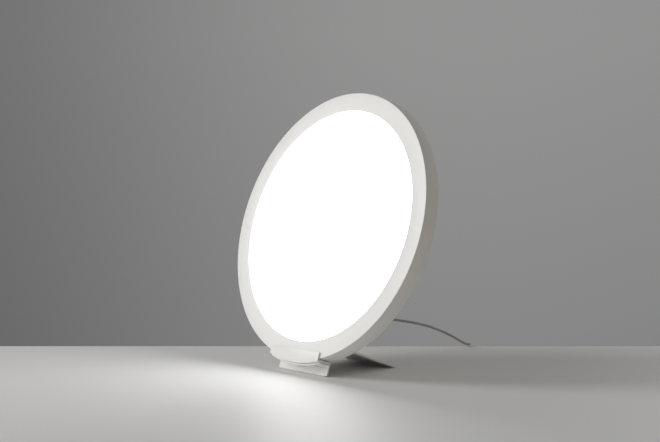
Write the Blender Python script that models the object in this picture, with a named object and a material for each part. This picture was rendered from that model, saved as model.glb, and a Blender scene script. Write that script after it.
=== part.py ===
"""A round light therapy lamp that leans back in a small stand, with its low-voltage lead and power adapter.

The part stands on the ground at the origin, faces -Y and leans back towards +Y. The disc is built about
its own axis in the empty lamp_head: there local Z runs up the disc and local Y runs backwards through it,
so a depth is a local Y behind the front of the bezel, and a height is a local Z above the disc's centre.
"""

import math

import bmesh
import bpy
import numpy as np
from mathutils import Matrix, Vector

mm = 0.001

for old in list(bpy.data.objects):
    bpy.data.objects.remove(old, do_unlink=True)

# Values that every piece shares
fit_gap = 0.3 * mm
overrun = 4 * mm
merge_distance = 0.001 * mm
disc_steps = 80
small_steps = 20
screw_steps = 12
arc_steps = 3
route_samples = 24
sharp_angle = math.radians(35)

# The disc and its bezel
disc_radius = 200 * mm
disc_depth = 24 * mm
bezel_width = 27.2 * mm
face_thickness = 2.5 * mm
wall_thickness = 2 * mm
edge_rounding = 1 * mm
opening_chamfer = 0.5 * mm
lean = math.radians(17.2)
rim_height = 20.5 * mm

# The stack of sheets behind the opening
diffuser_thickness = 2 * mm
guide_thickness = 4 * mm
reflector_thickness = 0.5 * mm
frame_thickness = 1.5 * mm
frame_shelf_width = 12 * mm
frame_flange_width = 14 * mm
strip_thickness = 0.8 * mm
led_count = 40
led_height = 1.4 * mm
led_length = 6 * mm
led_air_gap = 0.5 * mm
led_draft = math.radians(0.25)

# The back cover and its screws
cover_thickness = 2 * mm
cover_screw_count = 6
screw_shank_radius = 1.5 * mm
screw_head_radius = 2.8 * mm
screw_head_height = 1.6 * mm
screw_grip = 1.3 * mm
standoff_radius = 3 * mm
standoff_height = 3 * mm

# The rear housing, which holds the driver, the jack and the switch
housing_above_rim = 55 * mm
housing_radius = 60 * mm
housing_depth = 18 * mm
housing_wall = 2 * mm
housing_draft = 2.5 * mm
housing_rounding = 2.5 * mm
housing_boss_radius = 4 * mm
housing_boss_circle = 49 * mm
housing_boss_bore = 7 * mm
vent_count = 5
vent_width = 2 * mm
vent_length = 22 * mm
vent_pitch = 5 * mm
vent_start = 20 * mm

# The driver board and what it carries
board_width = 70 * mm
board_length = 44 * mm
board_thickness = 1.6 * mm
board_below_middle = 16 * mm
board_hole_inset = 5 * mm
inductor_radius = 7 * mm
inductor_length = 8 * mm
inductor_waist = 1.5 * mm
inductor_rim = 1.2 * mm
capacitor_radius = 4 * mm
capacitor_length = 9 * mm
capacitor_rounding = 0.6 * mm
inductor_place_share = (-0.62, 0.32)
capacitor_place_shares = ((0.56, 0.45), (0.72, -0.3))

# The low-voltage jack and plug
jack_below_middle = 25 * mm
jack_width = 9.6 * mm
jack_collar_radius = 4.4 * mm
jack_bore_radius = 3.05 * mm
jack_bore_depth = 9.6 * mm
jack_pin_radius = 0.95 * mm
barrel_length = 9 * mm
plug_radius = 5 * mm
plug_length = 19 * mm
plug_rounding = 1 * mm
relief_length = 15 * mm
relief_rib_count = 4
relief_rib_depth = 0.5 * mm
relief_end_wall = 0.9 * mm

# The rocker switch
rocker_above_middle = 25 * mm
rocker_reach = 8.6 * mm
rocker_half_width = 5.2 * mm
rocker_throw = math.radians(16)
rocker_crown = 0.3 * mm
rocker_pivot_depth = 3.5 * mm
rocker_pin_radius = 1.2 * mm
rocker_pin_grip = 0.7 * mm
rocker_frame_wall = 0.9 * mm
rocker_flange_width = 1.6 * mm
rocker_flange_thickness = 1.5 * mm
terminal_width = 4.8 * mm
terminal_thickness = 0.8 * mm
terminal_length = 4.5 * mm
rocker_foot_share = 0.42
rocker_belly_share = 0.68
terminal_place_share = 0.5

# The inner leads
lead_radius = 0.9 * mm
lead_spacing = 2 * mm

# The stand
stand_thickness = 2.5 * mm
stand_half_width = 54 * mm
back_half_width = 48 * mm
lip_height = 15.5 * mm
leg_rise = 32.5 * mm
leg_reach = 150 * mm
leg_flange_height = 22 * mm
foot_plate_depth = 20 * mm
foot_flange_start = 2 * mm
bend_radius = 3 * mm
liner_thickness = 1.2 * mm
liner_margin = 1 * mm
liner_end_inset = 4 * mm
strip_height = 0.8 * mm
strip_inset = 0.3 * mm
strip_end_inset = 5 * mm
rivet_radius = 1.8 * mm
rivet_head_radius = 3.2 * mm
rivet_head_depth = 1.3 * mm
rivet_tail_radius = 3 * mm
rivet_tail_height = 1 * mm
rivet_place_share = 0.7

# The lead, its coil and its tie
cord_radius = 2 * mm
cord_spacing = 9 * mm
cord_tube_detail = 2
coil_tube_detail = 1
coil_turns = 9.25
coil_layers = 4
coil_points_per_turn = 24
coil_mid_radius = 23.5 * mm
coil_turn_pitch = 4.7 * mm
coil_layer_pitch = 4.5 * mm
coil_lift = 1.2 * mm
coil_centre = Vector((-118 * mm, 395.15 * mm, 0))
coil_lead_length = 5 * mm
tie_thickness = 0.8 * mm
tie_width = 8 * mm
tie_slack = 0.5 * mm
tie_turn = math.radians(-40)

# The power adapter
adapter_width = 42 * mm
adapter_length = 64 * mm
adapter_thickness = 28 * mm
adapter_rounding = 3 * mm
adapter_place = Vector((-165 * mm, 255.95 * mm, 0))
adapter_relief_length = 20 * mm
adapter_relief_radius = 4.5 * mm
adapter_pin_radius = 2 * mm
adapter_pin_length = 19 * mm
adapter_pin_spacing = 19 * mm
adapter_pin_seat = 5 * mm

# Colours as linear red, green and blue, then roughness and metallic
white_enamel = ((0.78, 0.78, 0.76), 0.38, 0.0)
white_plastic = ((0.74, 0.74, 0.72), 0.45, 0.0)
lit_diffuser = ((1.0, 1.0, 1.0), 0.5, 0.0)
clear_acrylic = ((0.85, 0.9, 0.9), 0.1, 0.0)
reflector_film = ((0.9, 0.9, 0.9), 0.6, 0.0)
raw_aluminium = ((0.6, 0.6, 0.6), 0.35, 1.0)
led_board = ((0.8, 0.8, 0.7), 0.5, 0.0)
driver_green = ((0.03, 0.16, 0.07), 0.45, 0.0)
ferrite = ((0.05, 0.05, 0.05), 0.6, 0.0)
capacitor_sleeve = ((0.02, 0.03, 0.08), 0.35, 0.0)
black_plastic = ((0.02, 0.02, 0.02), 0.4, 0.0)
steel = ((0.55, 0.55, 0.55), 0.3, 1.0)
grey_rubber = ((0.2, 0.2, 0.2), 0.8, 0.0)
grey_cord = ((0.14, 0.14, 0.14), 0.55, 0.0)
lead_sleeve = ((0.35, 0.02, 0.02), 0.5, 0.0)
brass = ((0.7, 0.5, 0.2), 0.3, 1.0)

# Depths through the disc, front to back
diffuser_front = face_thickness + fit_gap
diffuser_back = diffuser_front + diffuser_thickness
guide_front = diffuser_back + fit_gap
guide_back = guide_front + guide_thickness
reflector_front = guide_back + fit_gap
reflector_back = reflector_front + reflector_thickness
shelf_front = reflector_back + fit_gap
shelf_back = shelf_front + frame_thickness
cover_front = disc_depth - cover_thickness
flange_back = cover_front - fit_gap
flange_front = flange_back - frame_thickness

# Radii from the rim inwards
opening_radius = disc_radius - bezel_width
wall_inner_radius = disc_radius - wall_thickness
frame_outer_radius = wall_inner_radius - fit_gap
frame_inner_radius = frame_outer_radius - frame_thickness
strip_outer_radius = frame_inner_radius - fit_gap
strip_inner_radius = strip_outer_radius - strip_thickness
guide_radius = strip_inner_radius - led_height - led_air_gap
sheet_radius = frame_inner_radius - fit_gap
cover_screw_circle = frame_outer_radius - frame_flange_width / 2

# Heights on the back of the disc, from its centre
housing_height = housing_radius + housing_above_rim - disc_radius
board_height = housing_height - board_below_middle
jack_height = housing_height - jack_below_middle
rocker_height = housing_height + rocker_above_middle

# The housing's levels
housing_front = disc_depth + fit_gap
housing_back = housing_front + housing_depth
housing_inner_back = housing_back - housing_wall
board_front = disc_depth + standoff_height + fit_gap
board_back = board_front + board_thickness
mounted_front = board_back + fit_gap
screw_hole_radius = screw_shank_radius + fit_gap

# The stand's radii about the disc's axis and its levels
channel_inner_radius = disc_radius + fit_gap + liner_thickness + fit_gap
channel_outer_radius = channel_inner_radius + stand_thickness
lip_back = -fit_gap
lip_front = lip_back - stand_thickness
channel_back_inner = disc_depth + fit_gap
channel_back_outer = channel_back_inner + stand_thickness
flange_outer_depth = channel_back_outer + fit_gap + stand_thickness
ground_flat = strip_height + fit_gap
foot_plate_back = foot_plate_depth + stand_thickness


def in_lamp(depth, height):
    """Where a depth and a height on the disc lie in the lamp, as (y, z) over the foot of its front rim."""
    y = disc_radius * math.sin(lean) + depth * math.cos(lean) + height * math.sin(lean)
    z = rim_height + disc_radius * math.cos(lean) - depth * math.sin(lean) + height * math.cos(lean)
    return y, z


# The origin lies under the middle of the stand's and the disc's reach from front to back
box_middle_y = (in_lamp(lip_front, -channel_outer_radius)[0] + leg_reach) / 2

lamp_base = bpy.data.objects.new("lamp_base", None)
lamp_base.location = (0, -box_middle_y, 0)
bpy.context.collection.objects.link(lamp_base)

lamp_head = bpy.data.objects.new("lamp_head", None)
lamp_head.parent = lamp_base
lamp_head.location = (0, *in_lamp(0, 0))
lamp_head.rotation_euler = (-lean, 0, 0)
bpy.context.collection.objects.link(lamp_head)


def material_of(name, finish):
    colour, roughness, metallic = finish
    made = bpy.data.materials.new(name + "_finish")
    made.use_nodes = True
    shader = made.node_tree.nodes["Principled BSDF"]
    shader.inputs["Base Color"].default_value = (*colour, 1.0)
    shader.inputs["Roughness"].default_value = roughness
    shader.inputs["Metallic"].default_value = metallic
    made.diffuse_color = (*colour, 1.0)
    return made


def add(name, mesh, finish, parent=lamp_head):
    """Puts a mesh or a curve into the scene as one named sub-part with a material of its own."""
    body = bpy.data.objects.new(name, mesh)
    body.parent = parent
    bpy.context.collection.objects.link(body)
    mesh.materials.append(material_of(name, finish))
    return body


def closed_mesh(shape, name):
    bmesh.ops.remove_doubles(shape, verts=shape.verts, dist=merge_distance)
    bmesh.ops.recalc_face_normals(shape, faces=shape.faces)
    mesh = bpy.data.meshes.new(name)
    shape.to_mesh(mesh)
    shape.free()
    mesh.shade_smooth()
    mesh.set_sharp_from_angle(angle=sharp_angle)
    return mesh


def turned(name, profile, steps):
    """A profile of (radius, depth) points turned about Y. A solid one starts and ends on the axis."""
    shape = bmesh.new()
    points = [shape.verts.new((radius, depth, 0)) for radius, depth in profile]
    edges = [shape.edges.new(pair) for pair in zip(points, points[1:])]
    if profile[0][0] > 0:
        edges.append(shape.edges.new((points[-1], points[0])))
    bmesh.ops.spin(
        shape,
        geom=points + edges,
        cent=(0, 0, 0),
        axis=(0, 1, 0),
        angle=math.tau,
        steps=steps,
        use_merge=True,
    )
    return closed_mesh(shape, name)


def drum(name, radius, front, back, steps=small_steps):
    return turned(name, [(0, front), (radius, front), (radius, back), (0, back)], steps)


def tube(name, inner, outer, front, back, steps=small_steps):
    return turned(name, [(inner, front), (outer, front), (outer, back), (inner, back)], steps)


def block(name, low, high):
    """A box between two corners."""
    shape = bmesh.new()
    low, high = Vector(low), Vector(high)
    bmesh.ops.create_cube(shape, size=1, matrix=Matrix.LocRotScale((low + high) / 2, None, high - low))
    return closed_mesh(shape, name)


def extruded(name, outline, half_width):
    """An outline of (y, z) points made solid from -half_width to half_width along X."""
    shape = bmesh.new()
    face = shape.faces.new([shape.verts.new((-half_width, y, z)) for y, z in outline])
    grown = bmesh.ops.extrude_face_region(shape, geom=[face])
    moved = [item for item in grown["geom"] if isinstance(item, bmesh.types.BMVert)]
    bmesh.ops.translate(shape, verts=moved, vec=(2 * half_width, 0, 0))
    return closed_mesh(shape, name)


def shifted(mesh, x, y, z):
    mesh.transform(Matrix.Translation((x, y, z)))
    return mesh


def together(name, meshes):
    """Several meshes as one, for a cutter that works at several places."""
    shape = bmesh.new()
    for mesh in meshes:
        shape.from_mesh(mesh)
    return closed_mesh(shape, name)


def apply_tool(body, mesh, operation, parent):
    tool = bpy.data.objects.new(mesh.name, mesh)
    tool.parent = parent
    tool.hide_render = True
    tool.display_type = "WIRE"
    bpy.context.collection.objects.link(tool)
    step = body.modifiers.new(mesh.name, "BOOLEAN")
    step.operation = operation
    step.solver = "EXACT"
    step.object = tool


def cut(body, mesh, parent=lamp_head):
    apply_tool(body, mesh, "DIFFERENCE", parent)


def unite(body, mesh, parent=lamp_head):
    apply_tool(body, mesh, "UNION", parent)


def keep_inside(body, mesh, parent=lamp_head):
    apply_tool(body, mesh, "INTERSECT", parent)


def rounded_edges(body, width, segments=2):
    bevel = body.modifiers.new("rounded_edges", "BEVEL")
    bevel.width = width
    bevel.segments = segments
    bevel.limit_method = "ANGLE"
    bevel.angle_limit = sharp_angle


def arc(centre, radius, start, end, steps=arc_steps):
    """Points from one angle to the other, in degrees, on a round stretch of a profile."""
    angles = [math.radians(start + (end - start) * step / steps) for step in range(steps + 1)]
    return [(centre[0] + radius * math.cos(a), centre[1] + radius * math.sin(a)) for a in angles]


def around(count, radius, first_turn=0.0):
    """Places (x, z) spread evenly on a circle about the disc's axis."""
    turns = [first_turn + math.tau * index / count for index in range(count)]
    return [(radius * math.cos(turn), radius * math.sin(turn)) for turn in turns]


def make_bezel():
    profile = [(opening_radius, opening_chamfer), (opening_radius + opening_chamfer, 0)]
    profile += arc((disc_radius - edge_rounding, edge_rounding), edge_rounding, -90, 0)
    profile += [
        (disc_radius, disc_depth - opening_chamfer),
        (disc_radius - opening_chamfer, disc_depth),
        (wall_inner_radius, disc_depth),
        (wall_inner_radius, face_thickness),
        (opening_radius, face_thickness),
    ]
    add("bezel_shell", turned("bezel_shell", profile, disc_steps), white_enamel)


def make_sheets():
    """The diffuser, the light guide and the reflector lie in one stack behind the opening."""
    diffuser = drum("diffuser", sheet_radius, diffuser_front, diffuser_back, disc_steps)
    add("diffuser", diffuser, lit_diffuser)
    guide = drum("light_guide", guide_radius, guide_front, guide_back, disc_steps)
    add("light_guide", guide, clear_acrylic)
    reflector = drum("reflector_sheet", sheet_radius, reflector_front, reflector_back, disc_steps)
    add("reflector_sheet", reflector, reflector_film)


def make_edge_frame():
    """The aluminium frame cools the strip, carries the sheets on a shelf and takes the cover's screws."""
    profile = [
        (frame_outer_radius, diffuser_front),
        (frame_outer_radius, flange_back),
        (frame_outer_radius - frame_flange_width, flange_back),
        (frame_outer_radius - frame_flange_width, flange_front),
        (frame_inner_radius, flange_front),
        (frame_inner_radius, shelf_back),
        (frame_inner_radius - frame_shelf_width, shelf_back),
        (frame_inner_radius - frame_shelf_width, shelf_front),
        (frame_inner_radius, shelf_front),
        (frame_inner_radius, diffuser_front),
    ]
    frame = add("edge_frame", turned("edge_frame", profile, disc_steps), raw_aluminium)
    holes = []
    for x, z in around(cover_screw_count, cover_screw_circle):
        hole = drum("hole", screw_hole_radius, flange_front - overrun, flange_back + overrun, screw_steps)
        holes.append(shifted(hole, x, 0, z))
    cut(frame, together("edge_frame_screw_holes", holes))


def make_led_strip():
    """A flexible board on the frame's wall whose light-emitting diodes face the edge of the light guide."""
    half_turn = led_length / 2 / strip_inner_radius
    stations = []
    for index in range(led_count):
        middle = math.tau * index / led_count
        stations += [
            (middle - half_turn - led_draft, strip_inner_radius),
            (middle - half_turn, strip_inner_radius - led_height),
            (middle + half_turn, strip_inner_radius - led_height),
            (middle + half_turn + led_draft, strip_inner_radius),
        ]
    shape = bmesh.new()
    loops = []
    for turn, inner in stations:
        corners = [
            (strip_outer_radius, guide_front),
            (strip_outer_radius, guide_back),
            (inner, guide_back),
            (inner, guide_front),
        ]
        loops.append([shape.verts.new((r * math.cos(turn), y, r * math.sin(turn))) for r, y in corners])
    for index, loop in enumerate(loops):
        after = loops[(index + 1) % len(loops)]
        for side in range(len(loop)):
            beside = (side + 1) % len(loop)
            shape.faces.new((loop[side], loop[beside], after[beside], after[side]))
    add("led_strip", closed_mesh(shape, "led_strip"), led_board)


def screw(name, front, back, head_at_back):
    """A pan-head screw along the disc's axis, with its head outside one end of front..back."""
    if head_at_back:
        head, seat, tip = back + screw_head_height, back, front
    else:
        head, seat, tip = front - screw_head_height, front, back
    crown = (head + seat) / 2
    profile = [
        (0, head),
        (screw_head_radius - screw_head_height / 2, head),
        (screw_head_radius, crown),
        (screw_head_radius, seat),
        (screw_shank_radius, seat),
        (screw_shank_radius, tip),
        (0, tip),
    ]
    return turned(name, profile, screw_steps)


def board_corners():
    half_x = board_width / 2 - board_hole_inset
    half_z = board_length / 2 - board_hole_inset
    return [(x, board_height + z) for x in (-half_x, half_x) for z in (-half_z, half_z)]


def boss_places():
    return [(x, housing_height + z) for x, z in around(4, housing_boss_circle)]


lead_hole_place = (board_width / 2 - board_hole_inset, board_height + board_length / 2 + 2 * lead_spacing)


def make_back_cover():
    plate = drum("back_cover", frame_outer_radius, cover_front, disc_depth, disc_steps)
    cover = add("back_cover", plate, white_plastic)
    posts = []
    for x, z in board_corners():
        post = drum("post", standoff_radius, cover_front + fit_gap, disc_depth + standoff_height, screw_steps)
        posts.append(shifted(post, x, 0, z))
    unite(cover, together("back_cover_standoffs", posts))
    holes = []
    for x, z in around(cover_screw_count, cover_screw_circle) + boss_places():
        hole = drum("hole", screw_hole_radius, cover_front - overrun, disc_depth + overrun, screw_steps)
        holes.append(shifted(hole, x, 0, z))
    lead_hole = drum("hole", 2 * lead_spacing, cover_front - overrun, disc_depth + overrun, screw_steps)
    holes.append(shifted(lead_hole, lead_hole_place[0], 0, lead_hole_place[1]))
    cut(cover, together("back_cover_holes", holes))


def make_cover_screws():
    for index, (x, z) in enumerate(around(cover_screw_count, cover_screw_circle)):
        name = f"cover_screw_{index + 1}"
        shape = screw(name, flange_front - screw_grip, disc_depth + fit_gap, head_at_back=True)
        add(name, shifted(shape, x, 0, z), steel)


def make_housing_screws():
    for index, (x, z) in enumerate(boss_places()):
        name = f"housing_screw_{index + 1}"
        tip = housing_front + housing_boss_bore - fit_gap
        shape = screw(name, cover_front - fit_gap, tip, head_at_back=False)
        add(name, shifted(shape, x, 0, z), steel)


def rocker_cutout(name, half_length, half_width, front, back):
    low = (-half_width, front, rocker_height - half_length)
    return block(name, low, (half_width, back, rocker_height + half_length))


# The switch's pocket and sleeve follow the rocker that swings in them
pocket_half_length = rocker_reach + fit_gap
pocket_half_width = rocker_half_width + fit_gap
sleeve_half_length = pocket_half_length + rocker_frame_wall
sleeve_half_width = pocket_half_width + rocker_frame_wall
switch_flange_front = housing_back + fit_gap
switch_flange_back = switch_flange_front + rocker_flange_thickness
pivot_depth = switch_flange_back - rocker_pivot_depth
pocket_front = pivot_depth - rocker_reach * rocker_belly_share - 2 * fit_gap
sleeve_front = pocket_front - rocker_frame_wall


def make_rear_housing():
    """A drafted tub over the electronics, open towards the cover, with slots that let warm air out."""
    crown_radius = housing_radius - housing_draft
    profile = [(0, housing_back)]
    profile += arc(
        (crown_radius - housing_rounding, housing_back - housing_rounding), housing_rounding, 90, 0
    )
    profile += [
        (housing_radius, housing_front),
        (housing_radius - housing_wall, housing_front),
        (crown_radius - housing_wall, housing_inner_back),
        (0, housing_inner_back),
    ]
    mesh = shifted(turned("rear_housing", profile, 2 * small_steps), 0, 0, housing_height)
    housing = add("rear_housing", mesh, white_plastic)
    bosses = []
    for x, z in boss_places():
        boss = drum("boss", housing_boss_radius, housing_front, housing_back - fit_gap, screw_steps)
        bosses.append(shifted(boss, x, 0, z))
    unite(housing, together("rear_housing_bosses", bosses))
    bores = []
    for x, z in boss_places():
        bore_end = housing_front + housing_boss_bore
        bore = drum("bore", screw_hole_radius, housing_front - overrun, bore_end, screw_steps)
        bores.append(shifted(bore, x, 0, z))
    jack_hole = drum(
        "jack_hole", jack_collar_radius + fit_gap, housing_inner_back - overrun, housing_back + overrun
    )
    bores.append(shifted(jack_hole, 0, 0, jack_height))
    switch_hole = rocker_cutout(
        "switch_hole",
        sleeve_half_length + fit_gap,
        sleeve_half_width + fit_gap,
        housing_inner_back - overrun,
        housing_back + overrun,
    )
    bores.append(switch_hole)
    for side in (-1, 1):
        for index in range(vent_count):
            x = side * (vent_start + vent_pitch * index)
            slot = block(
                "vent",
                (x - vent_width / 2, housing_inner_back - overrun, housing_height - vent_length / 2),
                (x + vent_width / 2, housing_back + overrun, housing_height + vent_length / 2),
            )
            bores.append(slot)
    cut(housing, together("rear_housing_openings", bores))


def make_driver():
    board = add(
        "driver_board",
        block(
            "driver_board",
            (-board_width / 2, board_front, board_height - board_length / 2),
            (board_width / 2, board_back, board_height + board_length / 2),
        ),
        driver_green,
    )
    notch = drum("notch", 2 * lead_spacing, board_front - overrun, board_back + overrun, screw_steps)
    cut(board, shifted(notch, lead_hole_place[0], 0, lead_hole_place[1]))

    x = inductor_place_share[0] * board_width / 2
    z = board_height + inductor_place_share[1] * board_length / 2
    inductor_back = mounted_front + inductor_length
    profile = [
        (0, mounted_front),
        (inductor_radius, mounted_front),
        (inductor_radius, mounted_front + inductor_rim),
        (inductor_radius - inductor_waist, mounted_front + inductor_rim),
        (inductor_radius - inductor_waist, inductor_back - inductor_rim),
        (inductor_radius, inductor_back - inductor_rim),
        (inductor_radius, inductor_back),
        (0, inductor_back),
    ]
    shape = shifted(turned("driver_inductor", profile, small_steps), x, 0, z)
    add("driver_inductor", shape, ferrite)

    capacitor_back = mounted_front + capacitor_length
    for index, (share_x, share_z) in enumerate(capacitor_place_shares):
        name = f"driver_capacitor_{index + 1}"
        profile = [
            (0, mounted_front),
            (capacitor_radius, mounted_front),
            (capacitor_radius, capacitor_back - capacitor_rounding),
            (capacitor_radius - capacitor_rounding, capacitor_back),
            (0, capacitor_back),
        ]
        x = share_x * board_width / 2
        z = board_height + share_z * board_length / 2
        add(name, shifted(turned(name, profile, small_steps), x, 0, z), capacitor_sleeve)


def make_jack():
    """The jack stands on the board, and its collar fills the hole in the housing."""
    half = jack_width / 2
    jack_back = housing_inner_back - fit_gap
    mesh = block("dc_jack", (-half, mounted_front, jack_height - half), (half, jack_back, jack_height + half))
    jack = add("dc_jack", mesh, black_plastic)
    collar = drum("dc_jack_collar", jack_collar_radius, mounted_front + fit_gap, housing_back)
    unite(jack, shifted(collar, 0, 0, jack_height))
    bore = tube(
        "dc_jack_bore",
        jack_pin_radius,
        jack_bore_radius,
        housing_back - jack_bore_depth,
        housing_back + overrun,
        screw_steps,
    )
    cut(jack, shifted(bore, 0, 0, jack_height))


def make_plug():
    """The barrel, the grip and the ribbed strain relief are one moulded plug on the end of the lead."""
    barrel_radius = jack_bore_radius - fit_gap
    bore_radius = jack_pin_radius + fit_gap
    grip_front = housing_back + fit_gap
    grip_back = grip_front + plug_length
    relief_end = grip_back + relief_length
    end_radius = cord_radius + relief_end_wall
    start_radius = plug_radius - plug_rounding
    profile = [
        (0, grip_front + fit_gap),
        (bore_radius, grip_front + fit_gap),
        (bore_radius, grip_front - barrel_length),
        (barrel_radius, grip_front - barrel_length),
        (barrel_radius, grip_front),
        (plug_radius - plug_rounding, grip_front),
        (plug_radius, grip_front + plug_rounding),
        (plug_radius, grip_back - plug_rounding),
        (plug_radius - plug_rounding, grip_back),
    ]
    rib_pitch = relief_length / (relief_rib_count + 1)
    for index in range(relief_rib_count):
        at = grip_back + rib_pitch * (index + 1)
        radius = start_radius + (end_radius - start_radius) * (index + 1) / (relief_rib_count + 1)
        profile += [
            (radius, at - rib_pitch / 2),
            (radius - relief_rib_depth, at - rib_pitch / 4),
            (radius - relief_rib_depth, at + rib_pitch / 4),
        ]
    profile += [(end_radius, relief_end), (0, relief_end)]
    add("dc_plug", shifted(turned("dc_plug", profile, screw_steps), 0, 0, jack_height), grey_rubber)
    return relief_end


def make_rocker_frame():
    flange_half_length = sleeve_half_length + rocker_flange_width
    flange_half_width = sleeve_half_width + rocker_flange_width
    mesh = rocker_cutout(
        "rocker_frame", flange_half_length, flange_half_width, switch_flange_front, switch_flange_back
    )
    frame = add("rocker_frame", mesh, black_plastic)
    sleeve_top = switch_flange_back - fit_gap
    sleeve = rocker_cutout(
        "rocker_frame_sleeve", sleeve_half_length, sleeve_half_width, sleeve_front, sleeve_top
    )
    unite(frame, sleeve)
    blades = []
    for side in (-1, 1):
        z = rocker_height + side * terminal_place_share * sleeve_half_length
        low = (-terminal_width / 2, sleeve_front - terminal_length, z - terminal_thickness / 2)
        high = (terminal_width / 2, sleeve_front + fit_gap, z + terminal_thickness / 2)
        blades.append(block("blade", low, high))
    unite(frame, together("rocker_frame_blades", blades))
    pocket_back = switch_flange_back + overrun
    pocket = rocker_cutout(
        "rocker_frame_pocket", pocket_half_length, pocket_half_width, pocket_front, pocket_back
    )
    cut(frame, pocket)
    pin_hole = drum(
        "rocker_frame_pin_hole",
        rocker_pin_radius + fit_gap,
        -pocket_half_width - rocker_pin_grip - fit_gap,
        pocket_half_width + rocker_pin_grip + fit_gap,
        screw_steps,
    )
    pin_hole.transform(Matrix.Rotation(math.pi / 2, 4, "Z"))
    cut(frame, shifted(pin_hole, 0, pivot_depth, rocker_height))


def make_rocker():
    """The rocker swings on two pins. Its faces meet in a shallow V and its ends are arcs about the pins."""
    crown = rocker_pivot_depth + rocker_crown
    half_throw = rocker_throw / 2
    # The face rises from the crown at half the throw until it meets the circle of the ends
    run = rocker_reach * math.cos(math.asin(crown * math.cos(half_throw) / rocker_reach) + half_throw)
    edge = (crown + run * math.tan(half_throw), run)
    top_turn = math.degrees(math.atan2(edge[0], edge[1]))
    foot_turn = -math.degrees(math.asin(rocker_foot_share))
    side = [(y, z) for z, y in arc((0, 0), rocker_reach, top_turn, foot_turn, 2 * arc_steps)]
    belly = rocker_reach * rocker_belly_share
    outline = [(crown, 0)] + side + [(-belly, rocker_foot_share * rocker_reach)]
    outline += [(y, -z) for y, z in reversed(outline[1:])]
    mesh = extruded("power_rocker", outline, rocker_half_width)
    rocker = add("power_rocker", mesh, black_plastic)
    rocker.location = (0, pivot_depth, rocker_height)
    rocker.rotation_euler = (half_throw, 0, 0)
    pin_reach = pocket_half_width + rocker_pin_grip
    pins = drum("power_rocker_pins", rocker_pin_radius, -pin_reach, pin_reach, screw_steps)
    pins.transform(Matrix.Rotation(math.pi / 2, 4, "Z"))
    unite(rocker, shifted(pins, 0, pivot_depth, rocker_height))


def mixed(at, low, high, start, end):
    """The point between start and end that a knot value between low and high stands for."""
    share = (at - low) / (high - low)
    return (1 - share) * start + share * end


def smooth_route(route, spacing):
    """Points an even distance apart on a smooth curve through the route's own points."""
    given = np.array([tuple(point) for point in route])
    ends = np.vstack([2 * given[0] - given[1], given, 2 * given[-1] - given[-2]])
    fine = []
    for stretch in zip(ends, ends[1:], ends[2:], ends[3:]):
        steps = [math.sqrt(np.linalg.norm(q - p)) for p, q in zip(stretch, stretch[1:])]
        knots = np.concatenate([[0], np.cumsum(steps)])
        for at in np.linspace(knots[1], knots[2], route_samples, endpoint=False):
            thirds = [mixed(at, knots[i], knots[i + 1], stretch[i], stretch[i + 1]) for i in range(3)]
            halves = [mixed(at, knots[i], knots[i + 2], thirds[i], thirds[i + 1]) for i in range(2)]
            fine.append(mixed(at, knots[1], knots[2], *halves))
    fine = np.array([*fine, given[-1]])
    reach = np.concatenate([[0], np.cumsum(np.linalg.norm(np.diff(fine, axis=0), axis=1))])
    marks = np.linspace(0, reach[-1], max(2, round(reach[-1] / spacing) + 1))
    return np.column_stack([np.interp(marks, reach, fine[:, axis]) for axis in range(3)])


def round_tube(name, points, radius, detail, finish, parent=lamp_base):
    curve = bpy.data.curves.new(name, "CURVE")
    curve.dimensions = "3D"
    curve.bevel_depth = radius
    curve.bevel_resolution = detail
    curve.use_fill_caps = True
    spline = curve.splines.new("POLY")
    spline.points.add(len(points) - 1)
    for point, place in zip(spline.points, points):
        point.co = (*place, 1)
    return add(name, curve, finish, parent)


def length_of(points):
    return float(np.linalg.norm(np.diff(np.array(points), axis=0), axis=1).sum())


def make_inner_leads():
    """One lead runs through the cover to the strip's frame, and two join the switch to the board."""
    x, z = lead_hole_place
    start = board_back + 2 * lead_radius + fit_gap
    level = (shelf_back + cover_front) / 2
    shelf_reach = frame_inner_radius - frame_shelf_width / 2
    turn = math.atan2(z, x)
    end = (shelf_reach * math.cos(turn), shelf_reach * math.sin(turn))
    route = [
        (x - 3 * lead_spacing, start, z - 3 * lead_spacing),
        (x - lead_spacing, start, z - lead_spacing),
        (x, (start + level) / 2, z),
        (x + lead_spacing, level, z - lead_spacing),
        ((x + end[0]) / 2, level, (z + end[1]) / 2),
        (end[0] - lead_spacing * math.cos(turn), level, end[1] - lead_spacing * math.sin(turn)),
        (end[0], (level + shelf_back) / 2, end[1]),
        (end[0], shelf_back + fit_gap, end[1]),
    ]
    round_tube("led_lead", smooth_route(route, 3 * lead_spacing), lead_radius, 1, lead_sleeve, lamp_head)

    for index, side in enumerate((-1, 1)):
        blade_z = rocker_height + side * terminal_place_share * sleeve_half_length
        blade_end = sleeve_front - terminal_length
        across = side * 4 * lead_spacing
        near_cover = disc_depth + lead_radius + fit_gap
        board_edge = board_height + board_length / 2
        level = near_cover + lead_radius / 2
        route = [
            (0, blade_end - fit_gap, blade_z),
            (0, blade_end - fit_gap - lead_radius, blade_z),
            (across / 3, level, blade_z),
            (across, level, (blade_z + board_edge) / 2),
            (across, level, board_edge + lead_radius + fit_gap),
        ]
        name = f"switch_lead_{index + 1}"
        round_tube(name, smooth_route(route, lead_spacing), lead_radius, 1, lead_sleeve, lamp_head)


# Two plates of the stand and the gap between them, which each rivet holds together
rivet_joint = 2 * stand_thickness + fit_gap


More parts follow.
